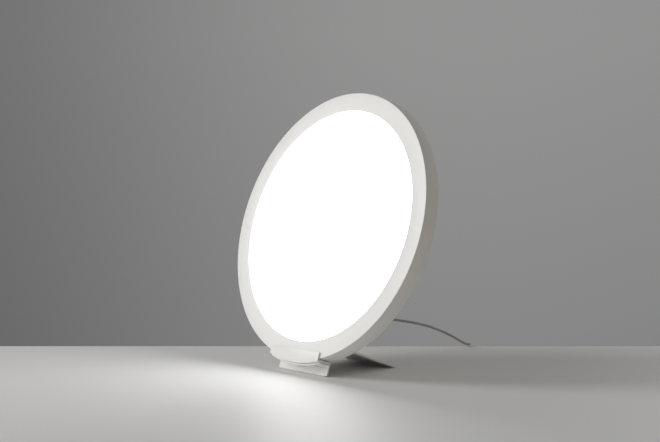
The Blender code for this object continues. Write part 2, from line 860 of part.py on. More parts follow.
def rivet_mesh(name):
    """A countersunk head, a shank through both plates, and a flat formed tail past them."""
    tail_start = rivet_joint + fit_gap
    profile = [
        (0, fit_gap),
        (rivet_head_radius, fit_gap),
        (rivet_radius, fit_gap + rivet_head_depth),
        (rivet_radius, tail_start),
        (rivet_tail_radius, tail_start),
        (rivet_tail_radius, tail_start + rivet_tail_height),
        (0, tail_start + rivet_tail_height),
    ]
    return turned(name, profile, screw_steps)


def rivet_hole():
    """The hole through both plates, with a cone for the head."""
    cone_radius = rivet_head_radius + 2 * fit_gap
    cone_end = rivet_head_depth + 2 * fit_gap
    hole_end = rivet_joint + overrun
    profile = [
        (0, -fit_gap),
        (cone_radius, -fit_gap),
        (cone_radius, fit_gap),
        (rivet_radius + fit_gap, cone_end),
        (rivet_radius + fit_gap, hole_end),
        (0, hole_end),
    ]
    return turned("rivet_hole", profile, screw_steps)


def rivet_turns():
    """How each rivet lies in the disc's frame: two through the back wall, two through the channel's floor."""
    x = rivet_place_share * stand_half_width
    back_height = -disc_radius + leg_rise - leg_flange_height / 2
    turns = [Matrix.Translation((side * x, channel_back_inner, back_height)) for side in (-1, 1)]
    floor_depth = (foot_flange_start + foot_plate_depth) / 2
    down = Matrix.Translation((0, floor_depth, -channel_inner_radius))
    down = down @ Matrix.Rotation(-math.pi / 2, 4, "X")
    for side in (-1, 1):
        swing = Matrix.Rotation(side * math.asin(x / channel_inner_radius), 4, "Y")
        turns.append(swing @ down)
    return turns


def make_rivets():
    for index, turn in enumerate(rivet_turns()):
        name = f"stand_rivet_{index + 1}"
        mesh = rivet_mesh(name)
        mesh.transform(turn)
        add(name, mesh, steel)


def rivet_holes(name, turns):
    holes = []
    for turn in turns:
        hole = rivet_hole()
        hole.transform(turn)
        holes.append(hole)
    return together(name, holes)


back_top = -disc_radius + leg_rise
lip_top = -disc_radius + lip_height


def make_cradle():
    """A channel round the bottom of the rim: a wide low lip in front, a narrower and higher wall behind."""
    outer = drum("cradle", channel_outer_radius, lip_front, channel_back_outer, disc_steps)
    cradle = add("cradle", outer, white_enamel)
    cut(cradle, drum("cradle_channel", channel_inner_radius, lip_back, channel_back_inner, disc_steps))
    keep_low = (-stand_half_width, lip_front - overrun, -channel_outer_radius - overrun)
    keep_high = (stand_half_width, channel_back_outer + overrun, back_top)
    keep_inside(cradle, block("cradle_width", keep_low, keep_high))
    above_low = (-stand_half_width - overrun, lip_front - overrun, lip_top)
    above_high = (stand_half_width + overrun, disc_depth / 2, back_top + overrun)
    cut(cradle, block("cradle_lip_top", above_low, above_high))
    corners = []
    for side in (-1, 1):
        inner, outer = side * back_half_width, side * (stand_half_width + overrun)
        low = (min(inner, outer), foot_plate_back, -channel_outer_radius - overrun)
        high = (max(inner, outer), channel_back_outer + overrun, back_top + overrun)
        corners.append(block("cradle_corner", low, high))
    cut(cradle, together("cradle_corners", corners))
    cut(cradle, rivet_holes("cradle_rivet_holes", rivet_turns()))


def make_liner():
    inner = disc_radius + fit_gap
    outer = inner + liner_thickness
    ring = tube("cradle_liner", inner, outer, liner_margin, disc_depth - liner_margin, disc_steps)
    liner = add("cradle_liner", ring, grey_rubber)
    half = back_half_width - liner_end_inset
    low = (-half, -overrun, -outer - overrun)
    keep_inside(liner, block("liner_width", low, (half, disc_depth + overrun, back_top)))


def meeting(point, way, other, other_way):
    """Where two lines in the (y, z) plane cross."""
    gap = (other[0] - point[0], other[1] - point[1])
    turned_by = way[0] * other_way[1] - way[1] * other_way[0]
    along = (gap[0] * other_way[1] - gap[1] * other_way[0]) / turned_by
    return point[0] + along * way[0], point[1] + along * way[1]


def rounded_corner(before, corner, after, radius):
    """The corner of an outline as an arc that touches both of its sides."""
    here = Vector(corner)
    to_before = (Vector(before) - here).normalized()
    to_after = (Vector(after) - here).normalized()
    half = to_before.angle(to_after) / 2
    centre = here + (to_before + to_after).normalized() * radius / math.sin(half)
    start = here + to_before * radius / math.tan(half) - centre
    end = here + to_after * radius / math.tan(half) - centre
    ways = [start.normalized().slerp(end.normalized(), step / arc_steps) for step in range(arc_steps + 1)]
    return [tuple(centre + way * radius) for way in ways]


def make_rear_leg():
    """A plate from the top of the channel's back down to the ground, where it is cut level."""
    up = (math.sin(lean), math.cos(lean))
    back = in_lamp(flange_outer_depth, 0)
    top = in_lamp(channel_back_outer + fit_gap, back_top)
    heel = (leg_reach, ground_flat)
    leg_slope = math.atan2(top[1] - heel[1], heel[0] - top[0])
    slope = (-math.cos(leg_slope), math.sin(leg_slope))
    below = (heel[0] - stand_thickness * slope[1], heel[1] + stand_thickness * slope[0])
    inner = meeting(back, up, below, slope)
    sole = meeting(below, slope, heel, (1, 0))
    flange_end = back_top - leg_flange_height
    flange_back_end = in_lamp(flange_outer_depth, flange_end)
    flange_face_end = in_lamp(channel_back_outer + fit_gap, flange_end)
    outline = rounded_corner(flange_face_end, top, heel, bend_radius)
    outline += [heel, sole]
    outline += rounded_corner(sole, inner, flange_back_end, bend_radius - stand_thickness)
    outline += [flange_back_end, flange_face_end]
    leg = add("rear_leg", extruded("rear_leg", outline, stand_half_width), white_enamel, lamp_base)
    flares = []
    for side in (-1, 1):
        narrow, wide = side * back_half_width, side * stand_half_width
        plan = [(-overrun, narrow), (top[0], narrow), (heel[0], wide)]
        plan += [(heel[0], wide + side * overrun), (-overrun, wide + side * overrun)]
        flare = extruded("rear_leg_flare", plan, disc_radius)
        flare.transform(Matrix.Rotation(math.pi / 2, 4, "Y"))
        flares.append(flare)
    cut(leg, together("rear_leg_flares", flares), lamp_base)
    cut(leg, rivet_holes("rear_leg_rivet_holes", rivet_turns()[:2]))
    return sole[0], heel[0]


def make_front_foot():
    """A plate square to the channel's floor, cut level at the ground, whose flange lies under that floor."""
    seat_radius = channel_outer_radius + fit_gap
    flange_radius = seat_radius + stand_thickness
    low = (-stand_half_width, foot_plate_depth, -disc_radius - 2 * rim_height)
    high = (stand_half_width, foot_plate_back, -channel_inner_radius * math.cos(lean))
    foot = add("front_foot", block("front_foot", low, high), white_enamel)
    start = foot_flange_start
    unite(foot, tube("front_foot_flange", seat_radius, flange_radius, start, foot_plate_back, disc_steps))
    low = (-stand_half_width, -leg_reach, ground_flat)
    high = (stand_half_width, leg_reach, rim_height + lip_height)
    keep_inside(foot, block("front_foot_width", low, high), lamp_base)
    cut(foot, drum("front_foot_seat", seat_radius, -disc_depth, 3 * disc_depth, disc_steps))
    cut(foot, rivet_holes("front_foot_rivet_holes", rivet_turns()[2:]))
    foot_height = (ground_flat - in_lamp(foot_plate_depth, 0)[1]) / math.cos(lean)
    front = in_lamp(foot_plate_depth, foot_height)[0]
    return front, front + stand_thickness / math.cos(lean)


def make_foot_strips(front_sole, rear_sole):
    half = stand_half_width - strip_end_inset
    for name, (start, end) in (("front", front_sole), ("rear", rear_sole)):
        low = (-half, start + strip_inset, 0)
        mesh = block(f"{name}_foot_strip", low, (half, end - strip_inset, strip_height))
        add(f"{name}_foot_strip", mesh, grey_rubber, lamp_base)


# The route of the lead from the plug to the coil, by hand, in millimetres in the lamp's frame
cord_route_mm = [
    (0, 100.08, 83.74),
    (0, 107.8, 81.4),
    (0, 130.6, 75.5),
    (0, 165.6, 67.5),
    (-2, 198.6, 61),
    (-5, 233.6, 54.5),
    (-8, 250.6, 51),
    (-11, 269.6, 46.6),
    (-14, 286.6, 41.6),
    (-17, 302.6, 35.6),
    (-20, 322.6, 27.8),
    (-22, 342.6, 19.6),
    (-24.5, 361.6, 11.2),
    (-27, 377.6, 5.2),
    (-31, 392.6, 2.6),
    (-39, 406.6, 2.3),
    (-51, 417.6, 2.4),
    (-68, 423.2, 2.7),
    (-86, 424.1, 3.1),
    (-104, 424.08, 3.2),
    (-112.7, 424.08, 3.2),
]

# The route of the lead's end, from the coil to the power adapter
tail_route_mm = [
    (-147, 389.85, 16.7),
    (-147, 383.6, 16.7),
    (-149, 374.6, 16.5),
    (-156, 363.6, 15.4),
    (-163, 353.6, 14.3),
    (-165, 345.6, 14),
    (-165, 340.6, 14),
]


def coil_height(turn):
    """The level of the winding after so many turns. It climbs in the half turn where the spiral reverses."""
    level = coil_lift + cord_radius
    turns_per_layer = coil_turns / coil_layers
    for reversal in range(1, coil_layers):
        share = min(1, max(0, (turn - reversal * turns_per_layer) * 2 + 1 / 2))
        level += coil_layer_pitch * (1 - math.cos(math.pi * share)) / 2
    return level


def coil_reach(turn):
    """How far the winding lies from the coil's middle: in through one layer and out through the next."""
    turns_per_layer = coil_turns / coil_layers
    layer, passed = divmod(turn, turns_per_layer)
    inwards = passed if int(layer) % 2 == 0 else turns_per_layer - passed
    return coil_mid_radius + coil_turn_pitch * (turns_per_layer / 2 - inwards)


def make_coil():
    count = round(coil_turns * coil_points_per_turn)
    points = []
    for index in range(count + 1):
        turn = coil_turns * index / count
        angle = math.tau * turn + math.pi / 2
        reach = coil_reach(turn)
        across = Vector((reach * math.cos(angle), reach * math.sin(angle), coil_height(turn)))
        points.append(coil_centre + across)
    points.insert(0, points[0] + Vector((coil_lead_length, 0, 0)))
    points.append(points[-1] + Vector((0, -coil_lead_length, 0)))
    round_tube("cord_coil", points, cord_radius, coil_tube_detail, grey_cord)
    places = np.array([tuple(point) for point in points])
    steps = np.concatenate([[0], np.cumsum(np.linalg.norm(np.diff(places, axis=0), axis=1))])
    fine = np.linspace(0, steps[-1], 6 * count)
    dense = np.column_stack([np.interp(fine, steps, places[:, axis]) for axis in range(3)])
    quarter_turn = math.pi * coil_mid_radius / 2
    nearest = []
    for place, passed in zip(dense, fine):
        later = dense[fine > passed + quarter_turn]
        if len(later):
            nearest.append(np.linalg.norm(later - place, axis=1).min())
    print(f"least gap of the coil to itself: {(min(nearest) - 2 * cord_radius) / mm:.2f} mm")
    return points


def make_tie():
    """A strap round the winding, with the turns' curve allowed for on its inner side."""
    turns_per_layer = coil_turns / coil_layers
    half_spread = coil_turn_pitch * turns_per_layer / 2 + cord_radius
    inner_radius = coil_mid_radius - half_spread
    inner = math.sqrt(inner_radius**2 - (tie_width / 2) ** 2) - tie_slack
    outer = coil_mid_radius + half_spread + tie_slack
    low = coil_lift - fit_gap
    high = coil_lift + 2 * cord_radius + coil_layer_pitch * (coil_layers - 1) + fit_gap
    strap = block(
        "cord_tie",
        (inner - tie_thickness, -tie_width / 2, low - tie_thickness),
        (outer + tie_thickness, tie_width / 2, high + tie_thickness),
    )
    window = block("cord_tie_window", (inner, -tie_width, low), (outer, tie_width, high))
    turn = Matrix.Translation(coil_centre) @ Matrix.Rotation(tie_turn, 4, "Z")
    strap.transform(turn)
    window.transform(turn)
    tie = add("cord_tie", strap, black_plastic, lamp_base)
    cut(tie, window, lamp_base)


def make_adapter():
    """The adapter lies behind the lamp. Its pins point forwards and its lead leaves at the back."""
    half_width, half_thick = adapter_width / 2, adapter_thickness / 2
    x, y = adapter_place[0], adapter_place[1]
    low = (x - half_width, y, 0)
    high = (x + half_width, y + adapter_length, adapter_thickness)
    body = add("power_adapter", block("power_adapter", low, high), black_plastic, lamp_base)
    rounded_edges(body, adapter_rounding)
    sockets = []
    socket_radius = adapter_pin_radius + fit_gap
    socket_end = y + adapter_pin_seat + fit_gap
    for side, name in ((-1, "adapter_pin_left"), (1, "adapter_pin_right")):
        pin_x = x + side * adapter_pin_spacing / 2
        socket = drum("socket", socket_radius, y - overrun, socket_end, screw_steps)
        sockets.append(shifted(socket, pin_x, 0, half_thick))
        tip = y - adapter_pin_length
        shoulder = tip + adapter_pin_radius
        profile = [
            (0, tip),
            (adapter_pin_radius / 2, tip),
            (adapter_pin_radius, shoulder),
            (adapter_pin_radius, y + adapter_pin_seat),
            (0, y + adapter_pin_seat),
        ]
        add(name, shifted(turned(name, profile, screw_steps), pin_x, 0, half_thick), brass, lamp_base)
    cut(body, together("power_adapter_sockets", sockets), lamp_base)
    start = y + adapter_length + fit_gap
    end = start + adapter_relief_length
    profile = [
        (0, start),
        (adapter_relief_radius, start),
        (cord_radius + relief_end_wall, end),
        (0, end),
    ]
    relief = shifted(turned("adapter_relief", profile, screw_steps), x, 0, half_thick)
    add("adapter_relief", relief, grey_rubber, lamp_base)
    return end


def make_lead(relief_end):
    free = smooth_route([Vector(point) * mm for point in cord_route_mm], cord_spacing)
    round_tube("power_cord", free, cord_radius, cord_tube_detail, grey_cord)
    tail = smooth_route([Vector(point) * mm for point in tail_route_mm], cord_spacing)
    round_tube("cord_tail", tail, cord_radius, cord_tube_detail, grey_cord)
    coil = make_coil()
    total = length_of(free) + length_of(coil) + length_of(tail)
    print(f"lead: {length_of(free):.3f} + {length_of(coil):.3f} + {length_of(tail):.3f} = {total:.3f} m")
    bpy.context.view_layer.update()
    exit_point = in_lamp(relief_end + fit_gap, jack_height)
    print("lead leaves the plug at (y, z)", tuple(round(value / mm, 2) for value in exit_point))
    for word, place in (("starts", coil[0]), ("ends", coil[-1])):
        print("coil", word, "at", tuple(round(value / mm, 2) for value in place))


make_bezel()
make_sheets()
make_edge_frame()
make_led_strip()
make_back_cover()
make_cover_screws()
make_housing_screws()
make_rear_housing()
make_driver()
make_jack()
plug_end = make_plug()
make_rocker_frame()
make_rocker()
make_inner_leads()
make_cradle()
make_liner()
rear_sole = make_rear_leg()
front_sole = make_front_foot()
make_foot_strips(front_sole, rear_sole)
make_rivets()
make_tie()
adapter_end = make_adapter()
make_lead(plug_end)
print("adapter relief ends at", round(adapter_end / mm, 2))
pivot = lamp_head.matrix_world @ Vector((0, pivot_depth, rocker_height))
print("rocker pivot at", tuple(round(value, 6) for value in pivot))
print("origin lies", round(box_middle_y / mm, 3), "mm behind the foot of the front rim")
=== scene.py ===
# %% [markdown]
# A round light therapy lamp leans back in a small white stand and faces left. Its CAD model already has
# the true sizes, so this lesson loads it as a fixed frame. It then adds the camera, the light, the
# finishes and the finer pieces that a photograph shows.

# %% Load the frame
import math

import bmesh
import bpy
import numpy as np
from mathutils import Matrix, Vector


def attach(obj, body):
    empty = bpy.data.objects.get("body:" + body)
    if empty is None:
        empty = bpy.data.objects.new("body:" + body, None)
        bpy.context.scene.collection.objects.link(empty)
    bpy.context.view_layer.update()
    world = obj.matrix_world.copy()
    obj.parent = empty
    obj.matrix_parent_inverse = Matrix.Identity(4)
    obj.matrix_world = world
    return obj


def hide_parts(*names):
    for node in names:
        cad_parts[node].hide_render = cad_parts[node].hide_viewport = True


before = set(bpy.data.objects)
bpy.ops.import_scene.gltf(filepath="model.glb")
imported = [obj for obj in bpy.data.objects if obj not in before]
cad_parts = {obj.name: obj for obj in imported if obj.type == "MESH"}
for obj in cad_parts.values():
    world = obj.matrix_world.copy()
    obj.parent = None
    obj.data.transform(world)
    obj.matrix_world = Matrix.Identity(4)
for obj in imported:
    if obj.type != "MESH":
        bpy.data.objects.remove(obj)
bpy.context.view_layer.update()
mm = 0.001

# %% [markdown]
# The camera comes first, because every later choice is judged through it. It stands in front of the lamp
# and to its right, a little above the table. A long lens from two metres keeps the disc's ellipse true,
# and its place was worked out from the two ellipses of the white ring and the corners of the stand.

# %% The camera
camera_place = Vector((1.563, -1.3241, 0.327))
view_turn = math.radians(49.853)
view_pitch = math.radians(3.105)
camera_data = bpy.data.cameras.new("photo_camera")
camera_data.sensor_width = 36
camera_data.lens = 76.87
camera = bpy.data.objects.new("photo_camera", camera_data)
camera.location = camera_place
camera.rotation_euler = (math.pi / 2 - view_pitch, 0, view_turn)
bpy.context.scene.collection.objects.link(camera)
bpy.context.scene.camera = camera
print("camera to the frame's origin:", round(camera_place.length, 3), "m")

# %% [markdown]
# A lead is one length of something flexible, so it is one curve. Its free part hangs from the plug and
# settles on the table, and the rest is wound up behind the lamp. A short list of points through which a
# smooth curve runs is easier to judge than a bent tube, and the curve is then cut into even steps. The
# points are in millimetres, and their depth counts from the foot of the front rim, as in the CAD.

# %% The lead's route
foot_to_origin = 73.027
lead_radius = 2 * mm
lead_step = 4 * mm
samples_per_stretch = 24
free_route = [
    (0, 100.08, 83.74), (0, 107.8, 81.4), (0, 130.6, 75.5), (0, 165.6, 67.5), (-2, 198.6, 61),
    (-5, 233.6, 54.3), (-8, 250.6, 50.5), (-11, 269.6, 45.9), (-14, 286.6, 41.3), (-17, 302.6, 36.1),
    (-20, 322.6, 28.9), (-22, 342.6, 20.6), (-24.5, 361.6, 11.8), (-27, 377.6, 5.2), (-31, 392.6, 2.6),
    (-39, 406.6, 2.3), (-51, 417.6, 2.4), (-68, 423.2, 2.7), (-86, 424.1, 3.1), (-104, 424.08, 3.2),
    (-112.7, 424.08, 3.2),
]
tail_route = [
    (-147, 389.85, 16.7), (-147, 383.6, 16.7), (-149, 374.6, 16.5), (-156, 363.6, 15.4),
    (-163, 353.6, 14.3), (-165, 345.6, 14), (-165, 340.6, 14), (-165, 320.3, 14),
]


def mixed(at, low, high, start, end):
    """The point between start and end that a knot value between low and high stands for."""
    share = (at - low) / (high - low)
    return (1 - share) * start + share * end


def smooth_route(route):
    """Points an even distance apart on a smooth curve through the route's own points."""
    given = (np.array(route, float) - (0, foot_to_origin, 0)) * mm
    ends = np.vstack([2 * given[0] - given[1], given, 2 * given[-1] - given[-2]])
    fine = []
    for stretch in zip(ends, ends[1:], ends[2:], ends[3:]):
        steps = [math.sqrt(np.linalg.norm(q - p)) for p, q in zip(stretch, stretch[1:])]
        knots = np.concatenate([[0], np.cumsum(steps)])
        for at in np.linspace(knots[1], knots[2], samples_per_stretch, endpoint=False):
            thirds = [mixed(at, knots[i], knots[i + 1], stretch[i], stretch[i + 1]) for i in range(3)]
            halves = [mixed(at, knots[i], knots[i + 2], thirds[i], thirds[i + 1]) for i in range(2)]
            fine.append(mixed(at, knots[1], knots[2], *halves))
    fine = np.array([*fine, given[-1]])
    reach = np.concatenate([[0], np.cumsum(np.linalg.norm(np.diff(fine, axis=0), axis=1))])
    marks = np.linspace(0, reach[-1], round(reach[-1] / lead_step) + 1)
    return np.column_stack([np.interp(marks, reach, fine[:, axis]) for axis in range(3)])


free_points = smooth_route(free_route)
tail_points = smooth_route(tail_route)
print("free part:", len(free_points), "points; tail:", len(tail_points), "points")

# %% [markdown]
# People wind up a spare length in rings that spiral in and out again, one layer on the next. A formula
# for the angle, the reach and the height of each point gives that winding without a single point typed by
# hand, and it never touches itself because its pitch is wider than the lead. Where a layer ends, the lead
# climbs to the next one over half a turn.

# %% The wound-up length
coil_turns = 9.25
coil_layers = 4
coil_middle = Vector((-118 * mm, (395.15 - foot_to_origin) * mm, 0))
coil_mid_radius = 23.5 * mm
coil_turn_pitch = 4.7 * mm
coil_layer_pitch = 4.5 * mm
coil_lift = 1.2 * mm
coil_climb_turns = 0.5
coil_steps_per_turn = 48
coil_end_length = 5 * mm
turns_per_layer = coil_turns / coil_layers


def coil_point(turn):
    """Where the winding is after so many turns."""
    layer, passed = divmod(turn, turns_per_layer)
    inwards = passed if int(layer) % 2 == 0 else turns_per_layer - passed
    reach = coil_mid_radius + coil_turn_pitch * (turns_per_layer / 2 - inwards)
    height = coil_lift + lead_radius
    for layer_end in range(1, coil_layers):
        share = min(1, max(0, (turn - layer_end * turns_per_layer) / coil_climb_turns + 0.5))
        height += coil_layer_pitch * (1 - math.cos(math.pi * share)) / 2
    angle = math.tau * turn + math.pi / 2
    return coil_middle + Vector((reach * math.cos(angle), reach * math.sin(angle), height))


coil_count = round(coil_turns * coil_steps_per_turn)
coil_points = [coil_point(coil_turns * index / coil_count) for index in range(coil_count + 1)]
coil_points.insert(0, coil_points[0] + Vector((coil_end_length, 0, 0)))
coil_points.append(coil_points[-1] + Vector((0, -coil_end_length, 0)))
print("coil:", len(coil_points), "points")

# %% [markdown]
# A curve with a bevel depth is a round tube, so the free part, the winding and the tail make one lead
# without a join. It becomes a mesh at once, as every finished piece is one, and it stands for the three
# stretches of lead in the CAD.

# %% The lead itself
def alone(piece):
    """Selects this piece and nothing else."""
    bpy.ops.object.select_all(action="DESELECT")
    piece.select_set(True)
    bpy.context.view_layer.objects.active = piece


lead_points = [*free_points, *coil_points, *tail_points]
lead_curve = bpy.data.curves.new("lamp_lead", "CURVE")
lead_curve.dimensions = "3D"
lead_curve.bevel_depth = lead_radius
lead_curve.bevel_resolution = 4
lead_curve.use_fill_caps = True
lead_line = lead_curve.splines.new("POLY")
lead_line.points.add(len(lead_points) - 1)
for point, place in zip(lead_line.points, lead_points):
    point.co = (*place, 1)
lamp_lead = bpy.data.objects.new("lamp_lead", lead_curve)
bpy.context.scene.collection.objects.link(lamp_lead)
alone(lamp_lead)
bpy.ops.object.convert(target="MESH")
lamp_lead = bpy.context.object
lamp_lead.name = "lamp_lead"
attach(lamp_lead, "lamp")
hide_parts("power_cord", "cord_coil", "cord_tail")
lead_length = float(np.linalg.norm(np.diff(np.array(lead_points), axis=0), axis=1).sum())
print("lead length:", round(lead_length, 3), "m")

# %% [markdown]
# A table and a wall are only a stage for the lamp, and two planes are enough for them. The wall stands
# square to the view, just past the table's back edge in the photograph, so its foot draws that edge.

# %% The table and the wall
def stage_plane(name, size, place, turn):
    """A flat stage piece of that size, with its place in its mesh."""
    bpy.ops.object.select_all(action="DESELECT")
    bpy.ops.mesh.primitive_plane_add(size=1, location=place, rotation=turn)
    piece = bpy.context.object
    piece.name = name
    piece.scale = (*size, 1)
    bpy.ops.object.transform_apply(location=True, rotation=True, scale=True)
    return piece


table_size = (8, 8)
table_level = -0.3 * mm
wall_size = (5, 4)
wall_distance = 2.274
ahead = Vector((-math.sin(view_turn), math.cos(view_turn), 0))
wall_foot = Vector((camera_place.x, camera_place.y, 0)) + ahead * wall_distance
wall_middle = wall_foot + Vector((0, 0, wall_size[1] / 2))
table_top = stage_plane("table_top", table_size, (0, 0, table_level), (0, 0, 0))
wall = stage_plane("wall", wall_size, wall_middle, (math.pi / 2, 0, view_turn))
print("the wall stands", round(wall_foot.length, 3), "m from the frame's origin")

# %% [markdown]
# The table is pale, slightly glossy and a little uneven in its tone. A material is a tree of small nodes,
# and the same few kinds come back in every finish: a noise, a ramp of tones and a change of range. So
# each of them gets a short function here. They read Object coordinates in metres, so a pattern keeps its
# real size.

# %% The table's finish
def tree_of(material):
    """The nodes and the links of a material that uses nodes."""
    material.use_nodes = True
    return material.node_tree.nodes, material.node_tree.links


def put_noise(nodes, links, scale, detail):
    """A noise pattern. A scale of 1000 has features about a millimetre wide."""
    place = nodes.new("ShaderNodeTexCoord")
    noise = nodes.new("ShaderNodeTexNoise")
    noise.inputs["Scale"].default_value = scale
    noise.inputs["Detail"].default_value = detail
    links.new(place.outputs["Object"], noise.inputs["Vector"])
    return noise.outputs["Fac"]


def tone_ramp(nodes, links, share, stops, interpolation="LINEAR"):
    """A colour that runs through these stops, each of them a position and a colour."""
    ramp = nodes.new("ShaderNodeValToRGB")
    ramp.color_ramp.interpolation = interpolation
    elements = ramp.color_ramp.elements
    while len(elements) < len(stops):
        elements.new(1)
    for element, (position, colour) in zip(elements, stops):
        element.position = position
        element.color = (*colour, 1)
    links.new(share, ramp.inputs["Fac"])
    return ramp.outputs["Color"]


def new_range(nodes, links, value, source, target):
    """A value taken from one range to another, and held at its ends."""
    change = nodes.new("ShaderNodeMapRange")
    for end, number in zip(("From Min", "From Max", "To Min", "To Max"), (*source, *target)):
        change.inputs[end].default_value = number
    links.new(value, change.inputs["Value"])
    return change.outputs["Result"]


table_finish = bpy.data.materials.new("table_finish")
table_tree = tree_of(table_finish)
table_shader = table_finish.node_tree.nodes["Principled BSDF"]
table_shader.inputs["Roughness"].default_value = 0.5
table_shader.inputs["Specular IOR Level"].default_value = 0.2
table_mottle = put_noise(*table_tree, scale=3, detail=2)
table_tone = tone_ramp(*table_tree, table_mottle, [(0, (0.74, 0.74, 0.73)), (1, (0.78, 0.78, 0.77))])
table_finish.node_tree.links.new(table_tone, table_shader.inputs["Base Color"])
table_top.data.materials.append(table_finish)
print("table finish:", len(table_finish.node_tree.nodes), "nodes")

# %% [markdown]
# The wall is grey, with painted shade in it: darker to the left, where the light falls off, and towards
# its foot. An emission gives just that grey, whatever the lamps do. It is shown to the camera, to
# reflections and through glass, but every other ray passes, and from behind the wall is clear, so it
# throws no shadow and hides nothing in the other views.

# %% The wall's finish
def place_from(nodes, links, origin, turn):
    """A point's place in metres, seen from an origin whose axes are turned by these angles."""
    place = nodes.new("ShaderNodeTexCoord")
    seen = nodes.new("ShaderNodeMapping")
    seen.vector_type = "TEXTURE"
    seen.inputs["Location"].default_value = origin
    seen.inputs["Rotation"].default_value = turn
    links.new(place.outputs["Object"], seen.inputs["Vector"])
    return seen.outputs["Vector"]


def along(nodes, links, place, axis):
    """One coordinate of a place."""
    split = nodes.new("ShaderNodeSeparateXYZ")
    links.new(place, split.inputs["Vector"])
    return split.outputs[axis]


def math_node(nodes, links, operation, *values):
    """The result of a Math node. Each value is a number or another node's output."""
    step = nodes.new("ShaderNodeMath")
    step.operation = operation
    for end, value in zip(step.inputs, values):
        if isinstance(value, (int, float)):
            end.default_value = value
        else:
            links.new(value, end)
    return step.outputs[0]


# Painted shade: these tones make the wall darker to the left, and these strengths make it darker towards
# its foot.
wall_half_view = 0.55
wall_shade_tones = [(0, (0.135, 0.135, 0.135)), (0.5, (0.3, 0.298, 0.297)), (1, (0.265, 0.262, 0.262))]
wall_shade_height = 0.5
wall_shade_strengths = (0.88, 1.06)
wall_finish = bpy.data.materials.new("wall_finish")
wall_tree = tree_of(wall_finish)
wall_nodes, wall_links = wall_tree
wall_nodes.clear()
wall_out = wall_nodes.new("ShaderNodeOutputMaterial")
wall_mix = wall_nodes.new("ShaderNodeMixShader")
wall_clear = wall_nodes.new("ShaderNodeBsdfTransparent")
wall_grey = wall_nodes.new("ShaderNodeEmission")
on_wall = place_from(*wall_tree, wall_foot, (0, 0, view_turn))
wall_across = along(*wall_tree, on_wall, "X")
wall_height = along(*wall_tree, on_wall, "Z")
wall_share = new_range(*wall_tree, wall_across, (-wall_half_view, wall_half_view), (0, 1))
wall_shaded_strength = new_range(*wall_tree, wall_height, (0, wall_shade_height), wall_shade_strengths)
wall_links.new(tone_ramp(*wall_tree, wall_share, wall_shade_tones, "B_SPLINE"), wall_grey.inputs["Color"])
wall_links.new(wall_shaded_strength, wall_grey.inputs["Strength"])
wall_path = wall_nodes.new("ShaderNodeLightPath")
shown = wall_path.outputs["Is Camera Ray"]
for ray in ("Is Glossy Ray", "Is Transmission Ray"):
    shown = math_node(*wall_tree, "MAXIMUM", shown, wall_path.outputs[ray])
wall_side = wall_nodes.new("ShaderNodeNewGeometry")
in_front = math_node(*wall_tree, "SUBTRACT", 1, wall_side.outputs["Backfacing"])
wall_links.new(math_node(*wall_tree, "MULTIPLY", shown, in_front), wall_mix.inputs["Fac"])
wall_links.new(wall_clear.outputs[0], wall_mix.inputs[1])
wall_links.new(wall_grey.outputs[0], wall_mix.inputs[2])
wall_links.new(wall_mix.outputs[0], wall_out.inputs["Surface"])
wall.data.materials.append(wall_finish)
print("wall finish:", len(wall_nodes), "nodes")

# %% [markdown]
# In the photograph the ring faces the light, and the side wall of the disc lies in soft, slightly warm
# shade. One large soft lamp to the left and above gives that difference. A low one in front lights the
# foot, one behind lights the back, and a weak warm one on the right tints the side wall. An even grey
# world fills the rest, so that each white renders about as it is written.

# %% The light
bpy.context.scene.view_settings.view_transform = "Standard"
world = bpy.data.worlds.new("even_room")
bpy.context.scene.world = world
world.use_nodes = True
world.node_tree.nodes["Background"].inputs["Color"].default_value = (0.255, 0.251, 0.245, 1)


def soft_lamp(name, place, aim, size, watts, colour=(1, 1, 1)):
    """A large square area light at a place, turned to its aim."""
    lamp_data = bpy.data.lights.new(name, "AREA")
    lamp_data.size = size
    lamp_data.energy = watts
    lamp_data.color = colour
    lamp = bpy.data.objects.new(name, lamp_data)
    lamp.location = place
    lamp.rotation_euler = (Vector(aim) - Vector(place)).to_track_quat("-Z", "Y").to_euler()
    bpy.context.scene.collection.objects.link(lamp)
    return lamp


lamps = [
    soft_lamp("key_lamp", (-1.8, -2.25, 1.55), (0, 0, 0.2), size=1.3, watts=47),
    soft_lamp("front_lamp", (-0.6, -2.6, 0.4), (0, 0, 0.15), size=0.8, watts=11),
    soft_lamp("back_lamp", (-0.7, 2.8, 0.55), (0, 0, 0.15), size=1.6, watts=13),
    soft_lamp("side_lamp", (2.6, 0.4, 0.5), (0, 0, 0.2), size=1.5, watts=2.6, colour=(1, 0.62, 0.2)),
]
print("lamps:", [(lamp.name, round(lamp.data.energy, 2)) for lamp in lamps])

# %% [markdown]
# Few real surfaces have one flat colour. A moulded or painted piece has faint patches in its tone, a
# roughness that drifts a little and a fine grain that catches the light. One function gives these three,
# so that a finish is a single line: its darkest and lightest colour, its roughness, and its grain's
# fineness and height.

# %% A finish with patches and grain
def finish_of(name, dark, light, rough, grain, height, patch=40, metal=0):
    """A material with patches from dark to light, a drifting roughness and a grain of that height."""
    made = bpy.data.materials.new(name)
    nodes, links = tree_of(made)
    shader = nodes["Principled BSDF"]
    shader.inputs["Metallic"].default_value = metal
    patches = put_noise(nodes, links, patch, detail=3)
    links.new(tone_ramp(nodes, links, patches, [(0.3, dark), (0.7, light)]), shader.inputs["Base Color"])
    links.new(new_range(nodes, links, patches, (0, 1), rough), shader.inputs["Roughness"])
    bump = nodes.new("ShaderNodeBump")
    bump.inputs["Strength"].default_value = 0.6
    bump.inputs["Distance"].default_value = height * mm
    links.new(put_noise(nodes, links, grain, detail=4), bump.inputs["Height"])
    links.new(bump.outputs["Normal"], shader.inputs["Normal"])
    return made


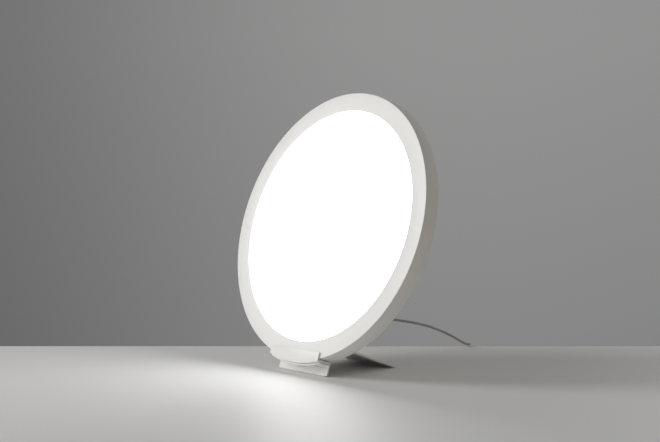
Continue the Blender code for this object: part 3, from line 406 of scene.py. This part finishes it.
white_enamel = finish_of(
    "white_enamel", (0.775, 0.77, 0.752), (0.8, 0.795, 0.777), (0.34, 0.44), grain=700, height=0.02,
    patch=18,
)
white_cover = finish_of(
    "white_cover", (0.73, 0.73, 0.715), (0.77, 0.77, 0.757), (0.5, 0.62), grain=2600, height=0.03,
    patch=25,
)
black_shell = finish_of(
    "black_shell", (0.016, 0.016, 0.017), (0.028, 0.028, 0.03), (0.42, 0.58), grain=2200, height=0.03
)
grey_rubber = finish_of(
    "grey_rubber", (0.15, 0.15, 0.15), (0.2, 0.2, 0.2), (0.7, 0.85), grain=1800, height=0.03
)
grey_vinyl = finish_of(
    "grey_vinyl", (0.3, 0.3, 0.3), (0.36, 0.36, 0.36), (0.42, 0.55), grain=900, height=0.02
)
red_sleeve = finish_of(
    "red_sleeve", (0.3, 0.015, 0.015), (0.4, 0.03, 0.03), (0.4, 0.5), grain=900, height=0.01
)
zinc_steel = finish_of(
    "zinc_steel", (0.48, 0.48, 0.5), (0.62, 0.62, 0.62), (0.25, 0.42), grain=1500, height=0.01, patch=300,
    metal=1,
)
nickel_brass = finish_of(
    "nickel_brass", (0.6, 0.52, 0.36), (0.68, 0.6, 0.45), (0.2, 0.34), grain=1500, height=0.01, patch=200,
    metal=1,
)
print("finishes so far:", len(bpy.data.materials))

# %% [markdown]
# The glowing sheet is opal plastic with light behind it. It gives light of its own, so its emission is
# what matters. The light fades very slightly near the rim, where fewer printed dots throw it forwards,
# and a gradient by the distance from the disc's axis shows that. So the disc gets a frame of its own:
# across, depth and height. Its lean and its start, the middle of the front face, are the CAD's.

# %% The disc's own frame and the opal sheet
lean = math.radians(17.2)
disc_middle = Vector((0, -13.886 * mm, 211.556 * mm))
on_disc = Matrix.Translation(disc_middle) @ Matrix.Rotation(-lean, 4, "X")


def disc_place(nodes, links):
    """A point's place in the disc's own frame, in metres."""
    return place_from(nodes, links, disc_middle, (-lean, 0, 0))


def distance_from_axis(nodes, links):
    """The distance of a point from the disc's axis, in metres."""
    flat = nodes.new("ShaderNodeVectorMath")
    flat.operation = "MULTIPLY"
    flat.inputs[1].default_value = (1, 0, 1)
    reach = nodes.new("ShaderNodeVectorMath")
    reach.operation = "LENGTH"
    links.new(disc_place(nodes, links), flat.inputs[0])
    links.new(flat.outputs["Vector"], reach.inputs[0])
    return reach.outputs["Value"]


glow_radii = (160 * mm, 178 * mm)
glow_strengths = (4.2, 3.8)
opal_sheet = finish_of(
    "opal_sheet", (0.88, 0.88, 0.88), (0.92, 0.92, 0.92), (0.45, 0.55), grain=1200, height=0.01
)
opal_tree = tree_of(opal_sheet)
opal_nodes, opal_links = opal_tree
opal_shader = opal_nodes["Principled BSDF"]
opal_shader.inputs["Emission Color"].default_value = (1, 1, 1, 1)
glow = new_range(*opal_tree, distance_from_axis(*opal_tree), glow_radii, glow_strengths)
opal_links.new(glow, opal_shader.inputs["Emission Strength"])
print("opal sheet glows from", glow_strengths[0], "in the middle to", glow_strengths[1], "at the rim")

# %% [markdown]
# Behind the sheet lie pieces that only an opened lamp shows. They keep their CAD shapes, and a second
# colour laid over the first tells what they are made of. Diodes sit on the inner face of their board, and
# a capacitor has a bare metal top, so a limit of radius or depth tells where the second colour begins.

# %% A second colour over a finish
def laid_over(made, share, colour):
    """Mixes a colour into a finish wherever the share is 1."""
    nodes, links = tree_of(made)
    shader = nodes["Principled BSDF"]
    under = shader.inputs["Base Color"].links[0].from_socket
    mix = nodes.new("ShaderNodeMix")
    mix.data_type = "RGBA"
    # Inputs 6 and 7 are the node's two colours, and output 2 is the mixed one
    links.new(share, mix.inputs["Factor"])
    links.new(under, mix.inputs[6])
    mix.inputs[7].default_value = (*colour, 1)
    links.new(mix.outputs[2], shader.inputs["Base Color"])


def disc_depth_of(nodes, links):
    """How deep a point lies behind the disc's front face, in metres."""
    return along(nodes, links, disc_place(nodes, links), "Y")


diode_reach = 195 * mm
diode_board = finish_of(
    "diode_board", (0.78, 0.78, 0.74), (0.84, 0.84, 0.8), (0.4, 0.5), grain=1500, height=0.01
)
board_tree = tree_of(diode_board)
at_diode = math_node(*board_tree, "LESS_THAN", distance_from_axis(*board_tree), diode_reach)
laid_over(diode_board, at_diode, (0.85, 0.62, 0.12))

capacitor_top = 38.1 * mm
capacitor_sleeve = finish_of(
    "capacitor_sleeve", (0.02, 0.03, 0.09), (0.03, 0.045, 0.12), (0.25, 0.35), grain=1500, height=0.01
)
sleeve_tree = tree_of(capacitor_sleeve)
at_top = math_node(*sleeve_tree, "GREATER_THAN", disc_depth_of(*sleeve_tree), capacitor_top)
laid_over(capacitor_sleeve, at_top, (0.55, 0.55, 0.56))
print("diode board and capacitor finishes made")

# %% [markdown]
# A driver board is green laminate with copper tracks under its varnish. Real tracks would have to be drawn
# one by one, but Voronoi cells have straight edges of one width, which pass for tracks at this size. The
# inductor is a dark ferrite spool, and its copper wire fills the band between the two ends.

# %% The driver board and the inductor
track_scale = 160
track_width = 0.06
green_board = finish_of(
    "green_board", (0.02, 0.13, 0.05), (0.03, 0.17, 0.07), (0.3, 0.45), grain=1500, height=0.01
)
green_tree = tree_of(green_board)
green_nodes, green_links = green_tree
tracks = green_nodes.new("ShaderNodeTexVoronoi")
tracks.feature = "DISTANCE_TO_EDGE"
tracks.inputs["Scale"].default_value = track_scale
green_links.new(disc_place(*green_tree), tracks.inputs["Vector"])
on_track = math_node(*green_tree, "LESS_THAN", tracks.outputs["Distance"], track_width)
laid_over(green_board, on_track, (0.08, 0.32, 0.12))

wire_start = 30.5 * mm
wire_end = 35.9 * mm
wound_ferrite = finish_of(
    "wound_ferrite", (0.04, 0.04, 0.042), (0.06, 0.06, 0.062), (0.6, 0.75), grain=1800, height=0.03
)
wound_tree = tree_of(wound_ferrite)
wound_depth = disc_depth_of(*wound_tree)
past_foot = math_node(*wound_tree, "GREATER_THAN", wound_depth, wire_start)
before_head = math_node(*wound_tree, "LESS_THAN", wound_depth, wire_end)
laid_over(wound_ferrite, math_node(*wound_tree, "MULTIPLY", past_foot, before_head), (0.5, 0.2, 0.07))
print("driver board and inductor finishes made")

# %% [markdown]
# The clear guide has a pattern of white dots printed on it, which throw its light forwards, and almost
# regular Voronoi cells place them. The frame round it is turned on a lathe, so its fine lines are rings:
# a noise that reads only the distance from the axis.

# %% The guide, the film and the aluminium frame
dot_scale = 450
dot_scatter = 0.1
dot_size = 0.28
line_scale = 5000
clear_acrylic = finish_of(
    "clear_acrylic", (0.7, 0.75, 0.76), (0.74, 0.79, 0.8), (0.06, 0.12), grain=900, height=0.005
)
guide_tree = tree_of(clear_acrylic)
guide_nodes, guide_links = guide_tree
dots = guide_nodes.new("ShaderNodeTexVoronoi")
dots.inputs["Scale"].default_value = dot_scale
dots.inputs["Randomness"].default_value = dot_scatter
guide_links.new(disc_place(*guide_tree), dots.inputs["Vector"])
on_dot = math_node(*guide_tree, "LESS_THAN", dots.outputs["Distance"], dot_size)
laid_over(clear_acrylic, on_dot, (0.95, 0.95, 0.95))

white_film = finish_of(
    "white_film", (0.88, 0.88, 0.88), (0.92, 0.92, 0.92), (0.5, 0.6), grain=1500, height=0.005
)

turned_aluminium = finish_of(
    "turned_aluminium", (0.55, 0.55, 0.56), (0.66, 0.66, 0.67), (0.3, 0.42), grain=1500, height=0.01,
    metal=1,
)
metal_tree = tree_of(turned_aluminium)
metal_nodes, metal_links = metal_tree
lines = metal_nodes.new("ShaderNodeTexNoise")
lines.noise_dimensions = "1D"
lines.inputs["Scale"].default_value = line_scale
metal_links.new(distance_from_axis(*metal_tree), lines.inputs["W"])
metal_links.new(lines.outputs["Fac"], metal_nodes["Bump"].inputs["Height"])
print("finishes:", len(bpy.data.materials))

# %% [markdown]
# The CAD nodes whose shape is right stay and only get a finish. A table of finish and nodes is short to
# read, and it leaves their meshes untouched. The rivets were painted over with the stand, so they wear
# its enamel.

# %% Finishes for the nodes that stay
def wear(material, *names):
    """Gives these CAD nodes that material in the slot that they already have."""
    for name in names:
        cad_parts[name].material_slots[0].material = material


def nodes_like(stem):
    """The names of the CAD nodes that start with this stem."""
    return [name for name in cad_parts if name.startswith(stem)]


wear(opal_sheet, "diffuser")
wear(clear_acrylic, "light_guide")
wear(white_film, "reflector_sheet")
wear(turned_aluminium, "edge_frame")
wear(diode_board, "led_strip")
wear(green_board, "driver_board")
wear(wound_ferrite, "driver_inductor")
wear(capacitor_sleeve, *nodes_like("driver_capacitor"))
wear(red_sleeve, "led_lead", *nodes_like("switch_lead"))
wear(black_shell, "dc_jack")
wear(grey_rubber, "cradle_liner")
wear(white_enamel, *nodes_like("stand_rivet"))
wear(zinc_steel, *nodes_like("housing_screw"))
wear(nickel_brass, *nodes_like("adapter_pin"))
lamp_lead.data.materials.append(grey_vinyl)
print("rivets and housing screws:", len(nodes_like("stand_rivet")), len(nodes_like("housing_screw")))

# %% [markdown]
# Many pieces of the lamp are round: the ring, the plug, the sleeves, the screws. Each could be spun from
# an outline. Here a circle is extruded, moved and scaled once for each point of the outline, as a potter
# pulls up a wall, because the same few lines then make every round piece.

# %% Round pieces from an outline
smooth_angle = math.radians(32)


def bend(centre, radius, start, end, steps=5):
    """Points on a round stretch of an outline, from one angle to the other in degrees."""
    turns = [math.radians(start + (end - start) * step / steps) for step in range(steps + 1)]
    return [(centre[0] + radius * math.cos(turn), centre[1] + radius * math.sin(turn)) for turn in turns]


def round_piece(name, outline, steps, hollow=False):
    """A closed piece about its Z axis, from an outline of (radius, height) points in millimetres."""
    bpy.ops.object.select_all(action="DESELECT")
    radius, height = outline[0]
    bpy.ops.mesh.primitive_circle_add(vertices=steps, radius=radius * mm)
    piece = bpy.context.object
    piece.name = name
    bpy.ops.object.mode_set(mode="EDIT")
    bpy.ops.mesh.select_all(action="SELECT")
    bpy.ops.transform.translate(value=(0, 0, height * mm))
    for next_radius, next_height in outline[1:] + outline[:1] * hollow:
        move = (0, 0, (next_height - height) * mm)
        bpy.ops.mesh.extrude_edges_move(TRANSFORM_OT_translate={"value": move})
        growth = next_radius / radius
        bpy.ops.transform.resize(value=(growth, growth, 1), center_override=(0, 0, 0))
        radius, height = next_radius, next_height
    bpy.ops.mesh.select_all(action="SELECT")
    bpy.ops.mesh.remove_doubles(threshold=0.003 * mm)
    if not hollow:
        bpy.ops.mesh.fill_holes(sides=0)
    bpy.ops.mesh.select_all(action="SELECT")
    bpy.ops.mesh.normals_make_consistent(inside=False)
    bpy.ops.object.mode_set(mode="OBJECT")
    bpy.ops.object.shade_smooth_by_angle(angle=smooth_angle)
    return piece


def put(piece, place, finish, slot, *replaced, body="lamp"):
    """Gives a piece its place, its finish, the body that it rides and the nodes that it stands for."""
    piece.matrix_world = place
    alone(piece)
    bpy.ops.object.transform_apply(location=True, rotation=True, scale=True)
    piece.data.materials.clear()
    piece.data.materials.append(finish)
    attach(piece, body)
    if replaced:
        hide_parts(*replaced)
    measured = bmesh.new()
    measured.from_mesh(piece.data)
    open_edges = sum(not edge.is_manifold for edge in measured.edges)
    volume = round(measured.calc_volume() * 1e6, 3)
    print(piece.name, "faces", len(measured.faces), "open edges", open_edges, "volume cm3", volume)
    measured.free()


quarter_turn = Matrix.Rotation(-math.pi / 2, 4, "X")


def facing_back(across, height):
    """The place of a round piece whose axis runs back through the disc at that point in millimetres."""
    return on_disc @ Matrix.Translation((across * mm, 0, height * mm)) @ quarter_turn


print("round pieces are shaded smooth below", round(math.degrees(smooth_angle)), "degrees")

# %% [markdown]
# The white ring and its side wall are one moulding. Its outline runs from the rounded lip of the opening
# over the front face, round the rim's front corner and along the side wall to the back, and returns
# inside the wall, so the piece is a closed shell with a real thickness.

# %% The white ring and side wall
disc_radius = 200
disc_depth = 24
opening_radius = 172.8
face_thickness = 2.5
wall_thickness = 2
rim_rounding = 1
lip_rounding = 0.5
bezel_outline = bend((opening_radius + lip_rounding, lip_rounding), lip_rounding, 180, 270, 4)
bezel_outline += bend((disc_radius - rim_rounding, rim_rounding), rim_rounding, -90, 0, 6)
bezel_outline += bend((disc_radius - lip_rounding, disc_depth - lip_rounding), lip_rounding, 0, 90, 4)
bezel_outline += [
    (disc_radius - wall_thickness, disc_depth), (disc_radius - wall_thickness, face_thickness),
    (opening_radius, face_thickness),
]
bezel = round_piece("bezel", bezel_outline, 240, hollow=True)
put(bezel, facing_back(0, 0), white_enamel, "enamel", "bezel_shell")

# %% [markdown]
# The plug is one rubber moulding: a grip with shallow finger grooves, then a tapered sleeve whose ribs
# let it bend with the lead. The sleeve on the adapter is made the same way, only longer. Both outlines
# are lists of radius and height, and the ribs come from a short loop.

# %% The plug and the two ribbed sleeves
def ribs(start, end, first_radius, last_radius, count, depth):
    """An outline that tapers from one radius to the other in rounded ribs with grooves between them."""
    outline = []
    pitch = (end - start) / count
    for index in range(count):
        share = index / (count - 1)
        radius = first_radius + (last_radius - first_radius) * share
        at = start + pitch * index
        outline += [
            (radius - 0.15, at + pitch * 0.08), (radius, at + pitch * 0.2), (radius, at + pitch * 0.5),
            (radius - 0.15, at + pitch * 0.62), (radius - depth, at + pitch * 0.7),
            (radius - depth, at + pitch),
        ]
    return outline


jack_height = -110
barrel_radius = 2.75
barrel_start = 33.6
grip_start = 42.6
grip_end = 61.6
grip_radius = 5
groove_depth = 0.3
plug_outline = [(barrel_radius, barrel_start), (barrel_radius, grip_start)]
plug_outline += bend((grip_radius - 1, grip_start + 1), 1, -90, 0)
for groove in (48.6, 51.6, 54.6):
    plug_outline += [(grip_radius, groove - 0.9), (grip_radius - groove_depth, groove - 0.5)]
    plug_outline += [(grip_radius - groove_depth, groove + 0.5), (grip_radius, groove + 0.9)]
plug_outline += bend((grip_radius - 1, grip_end - 1), 1, 0, 90)
plug_outline += ribs(grip_end, 75.6, 3.95, 3.1, count=6, depth=0.55)
plug_outline += [(2.9, 76), (2.8, 76.6), (2.1, 76.6)]
lead_plug = round_piece("lead_plug", plug_outline, 40)
put(lead_plug, facing_back(0, jack_height), grey_rubber, "rubber", "dc_plug")

adapter_foot = Vector((-165 * mm, (255.95 - foot_to_origin) * mm, 14 * mm))
adapter_length = 64
sleeve_gap = 0.3
sleeve_outline = [(4.3, 0)] + bend((4.2, 0.3), 0.3, -45, 0, 2) + [(4.5, 2.2), (4.2, 2.6), (3.8, 2.7)]
sleeve_outline += ribs(2.9, 18.6, 4.2, 3.2, count=7, depth=0.6) + [(2.9, 19), (2.8, 20), (2.1, 20)]
adapter_sleeve = round_piece("adapter_sleeve", sleeve_outline, 40)
sleeve_foot = adapter_foot + Vector((0, (adapter_length + sleeve_gap) * mm, 0))
sleeve_place = Matrix.Translation(sleeve_foot) @ quarter_turn
put(adapter_sleeve, sleeve_place, grey_rubber, "rubber", "adapter_relief")

# %% [markdown]
# Six pan-head screws hold the back cover. A screwdriver's cross could be drawn as a bump or cut as a real
# hole. Here a cutter is made for it, a small upright block whose four sides are pulled out into arms. But
# stretching the block about 26 mm takes it to between 23 and 24.8 mm, and the head ends at 25.9 mm. So the
# cut is a closed hollow inside the screw, and no cross shows on its head. The print names the two heights.

# %% One screw and the hollow cut in it
def cut_with(piece, cutter):
    """Cuts the cutter's shape out of the piece, and removes the cutter."""
    hole = piece.modifiers.new("hole", "BOOLEAN")
    hole.operation = "DIFFERENCE"
    hole.solver = "EXACT"
    hole.object = cutter
    alone(piece)
    bpy.ops.object.modifier_apply(modifier=hole.name)
    bpy.data.objects.remove(cutter)


cross_width = 0.6
cross_arm = 1.1
cross_middle = 25.3
stretch = 3
stretched_about = 26
screw_outline = [(1.3, 18.9), (1.5, 19.3), (1.5, 24.3), (2.7, 24.3), (2.8, 24.4)]
screw_outline += bend((1.6, 24.7), 1.2, 0, 80, 6)
screw_model = round_piece("screw_model", screw_outline, 32)
bpy.ops.object.select_all(action="DESELECT")
bpy.ops.mesh.primitive_cube_add(size=cross_width * mm, location=(0, 0, cross_middle * mm))
cross = bpy.context.object
bpy.ops.object.transform_apply(location=True, rotation=True, scale=True)
bpy.ops.object.mode_set(mode="EDIT")
bpy.ops.mesh.select_all(action="SELECT")
bpy.ops.transform.resize(value=(1, 1, stretch), center_override=(0, 0, stretched_about * mm))
bpy.ops.mesh.select_all(action="DESELECT")
bpy.ops.mesh.select_mode(type="FACE")
cross_mesh = bmesh.from_edit_mesh(cross.data)
for face in cross_mesh.faces:
    face.select_set(abs(face.normal.z) < 0.5)
bmesh.update_edit_mesh(cross.data)
bpy.ops.mesh.extrude_faces_move(TRANSFORM_OT_shrink_fatten={"value": cross_arm * mm})
bpy.ops.object.mode_set(mode="OBJECT")
cutter_top = max(corner.co.z for corner in cross.data.vertices)
screw_top = max(corner.co.z for corner in screw_model.data.vertices)
print("cutter ends at", round(cutter_top / mm, 2), "mm, screw ends at", round(screw_top / mm, 2), "mm")
cut_with(screw_model, cross)
bpy.ops.object.shade_smooth_by_angle(angle=smooth_angle)
print("screw faces:", len(screw_model.data.polygons))

# %% [markdown]
# One screw is modelled and copied, and each copy gets a mesh of its own. Screws stop at any angle when
# they are driven home, so each copy also has a turn of its own.

# %% Six copies of the screw
screw_count = 6
screw_circle = 190.7
screw_turn = 1.3
for index in range(screw_count):
    turn = math.tau * index / screw_count
    screw = bpy.data.objects.new(f"cross_screw_{index + 1}", screw_model.data.copy())
    bpy.context.scene.collection.objects.link(screw)
    place = facing_back(screw_circle * math.cos(turn), screw_circle * math.sin(turn))
    driven = place @ Matrix.Rotation(screw_turn * index, 4, "Z")
    put(screw, driven, zinc_steel, "steel", f"cover_screw_{index + 1}")
bpy.data.objects.remove(screw_model)

# %% [markdown]
# The stand is bent from sheet and the housing is moulded, and neither has a knife edge anywhere. The CAD
# solids have their shapes but sharp corners. So each is copied, its triangles are merged into whole
# faces, and a narrow Bevel modifier rounds every corner, which then catches a thin line of light as in
# the photograph.

# %% Softened copies of the pressed and moulded pieces
def softened(node, name, width, segments=3):
    """A copy of a CAD node, its triangles merged and its corners rounded by that width in millimetres."""
    piece = bpy.data.objects.new(name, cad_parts[node].data.copy())
    bpy.context.scene.collection.objects.link(piece)
    alone(piece)
    bpy.ops.mesh.customdata_custom_splitnormals_clear()
    bpy.ops.object.mode_set(mode="EDIT")
    bpy.ops.mesh.select_all(action="SELECT")
    bpy.ops.mesh.remove_doubles(threshold=0.01 * mm)
    bpy.ops.mesh.dissolve_limited(angle_limit=math.radians(0.6))
    bpy.ops.object.mode_set(mode="OBJECT")
    rounding = piece.modifiers.new("rounding", "BEVEL")
    rounding.width = width * mm
    rounding.segments = segments
    rounding.limit_method = "ANGLE"
    rounding.angle_limit = math.radians(40)
    bpy.ops.object.modifier_apply(modifier=rounding.name)
    bpy.ops.object.shade_smooth_by_angle(angle=smooth_angle)
    return piece


in_place = Matrix.Identity(4)
for node, name, width, finish, slot, body in [
    ("cradle", "rim_channel", 0.5, white_enamel, "enamel", "lamp"),
    ("front_foot", "front_plate", 0.4, white_enamel, "enamel", "lamp"),
    ("rear_leg", "rear_plate", 0.5, white_enamel, "enamel", "lamp"),
    ("rear_housing", "back_housing", 0.3, white_cover, "cover", "lamp"),
    ("back_cover", "cover_sheet", 0.3, white_cover, "cover", "lamp"),
    ("rocker_frame", "switch_frame", 0.25, black_shell, "black_plastic", "lamp"),
    ("cord_tie", "strap", 0.2, black_shell, "black_plastic", "lamp"),
    ("power_rocker", "switch_key", 0.3, black_shell, "black_plastic", "rocker"),
]:
    put(softened(node, name, width), in_place, finish, slot, node, body=body)

# %% [markdown]
# The two plates of the stand don't scratch the table, because each has a strip of pale rubber along its
# lower edge. A strip is a long block with rounded edges, and it reaches up to the plate, so no dark gap
# shows.

# %% The rubber strips under the plates
def block(name, place, size, rounding, segments):
    """A block with rounded edges, by its middle, its size and its rounding in millimetres."""
    bpy.ops.object.select_all(action="DESELECT")
    bpy.ops.mesh.primitive_cube_add(size=1, location=Vector(place) * mm, scale=Vector(size) * mm)
    piece = bpy.context.object
    piece.name = name
    bpy.ops.object.transform_apply(location=True, rotation=True, scale=True)
    bpy.ops.object.mode_set(mode="EDIT")
    bpy.ops.mesh.select_all(action="SELECT")
    bpy.ops.mesh.bevel(offset=rounding * mm, segments=segments, affect="EDGES")
    bpy.ops.object.mode_set(mode="OBJECT")
    return piece


pad_width = 99
pad_height = 1.08
pad_rounding = 0.2
pale_rubber = finish_of(
    "pale_rubber", (0.5, 0.5, 0.48), (0.58, 0.58, 0.56), (0.6, 0.75), grain=1800, height=0.02
)
for name, start, end, node in [
    ("front_pad", -57.95, -55.6, "front_foot_strip"),
    ("rear_pad", 69.95, 76.8, "rear_foot_strip"),
]:
    pad_middle = (0, (start + end) / 2, pad_height / 2)
    pad = block(name, pad_middle, (pad_width, end - start, pad_height), pad_rounding, 2)
    put(pad, in_place, pale_rubber, "rubber", node)

# %% [markdown]
# The key of the switch has a line at its on end and a ring at its off end, raised a little from its two
# faces. They are small solids of their own that ride with the key, so they tip with it when it is
# pressed. Each is sunk by a tenth of a millimetre, so no gap shows under it.

# %% The marks on the key
key_tilt = math.radians(8)
key_depth = 40.6
key_height = -60
key_face = 3.8
mark_sink = 0.1
mark_height = 5
line_size = (0.5, 3.3, 0.25)
ring_outline = [(1.15, 0), (1.65, 0), (1.65, 0.2), (1.55, 0.25), (1.25, 0.25), (1.15, 0.2)]
key_middle = Matrix.Translation((0, key_depth * mm, key_height * mm))
key_pivot = on_disc @ key_middle @ Matrix.Rotation(key_tilt, 4, "X")
mark_white = finish_of(
    "mark_white", (0.7, 0.7, 0.7), (0.76, 0.76, 0.76), (0.4, 0.5), grain=1500, height=0.01
)


def on_key(side):
    """The place of a mark on the key's upper face, for side 1, or on its lower face, for side -1."""
    depth = key_face + mark_height * math.tan(key_tilt) - mark_sink
    tipped = Matrix.Rotation(-math.pi / 2 - side * key_tilt, 4, "X")
    return key_pivot @ Matrix.Translation((0, depth * mm, side * mark_height * mm)) @ tipped


off_mark = round_piece("off_mark", ring_outline, 40, hollow=True)
put(off_mark, on_key(-1), mark_white, "enamel", body="rocker")
on_mark = block("on_mark", (0, 0, line_size[2] / 2), line_size, 0.06, 2)
put(on_mark, on_key(1), mark_white, "enamel", body="rocker")

# %% [markdown]
# The power adapter is two half shells joined at a seam. A box with its edges bevelled gives the shells, a
# bisect puts a line of edges where they meet, and that line is widened and pushed in to make the groove.
# Two round holes take the pins.

# %% The power adapter
adapter_width = 42
adapter_thickness = 28
adapter_rounding = 3
seam_width = 0.3
seam_depth = 0.5
pin_offset = 9.5
socket_outline = [(2.3, -1), (2.3, 5.3)]
adapter_box = block(
    "adapter_box", (0, adapter_length / 2, 0), (adapter_width, adapter_length, adapter_thickness),
    adapter_rounding, 6,
)
bpy.ops.object.mode_set(mode="EDIT")
bpy.ops.mesh.select_all(action="SELECT")
bpy.ops.mesh.bisect(plane_co=(0, 0, 0), plane_no=(0, 0, 1))
bpy.ops.mesh.bevel(offset=seam_width * mm, segments=1, affect="EDGES")
bpy.ops.mesh.extrude_region_shrink_fatten(TRANSFORM_OT_shrink_fatten={"value": -seam_depth * mm})
bpy.ops.object.mode_set(mode="OBJECT")
for side in (-1, 1):
    socket = round_piece("socket", socket_outline, 32)
    socket.matrix_world = Matrix.Translation((side * pin_offset * mm, 0, 0)) @ quarter_turn
    cut_with(adapter_box, socket)
bpy.ops.object.shade_smooth_by_angle(angle=smooth_angle)
put(adapter_box, Matrix.Translation(adapter_foot), black_shell, "black_plastic", "power_adapter")
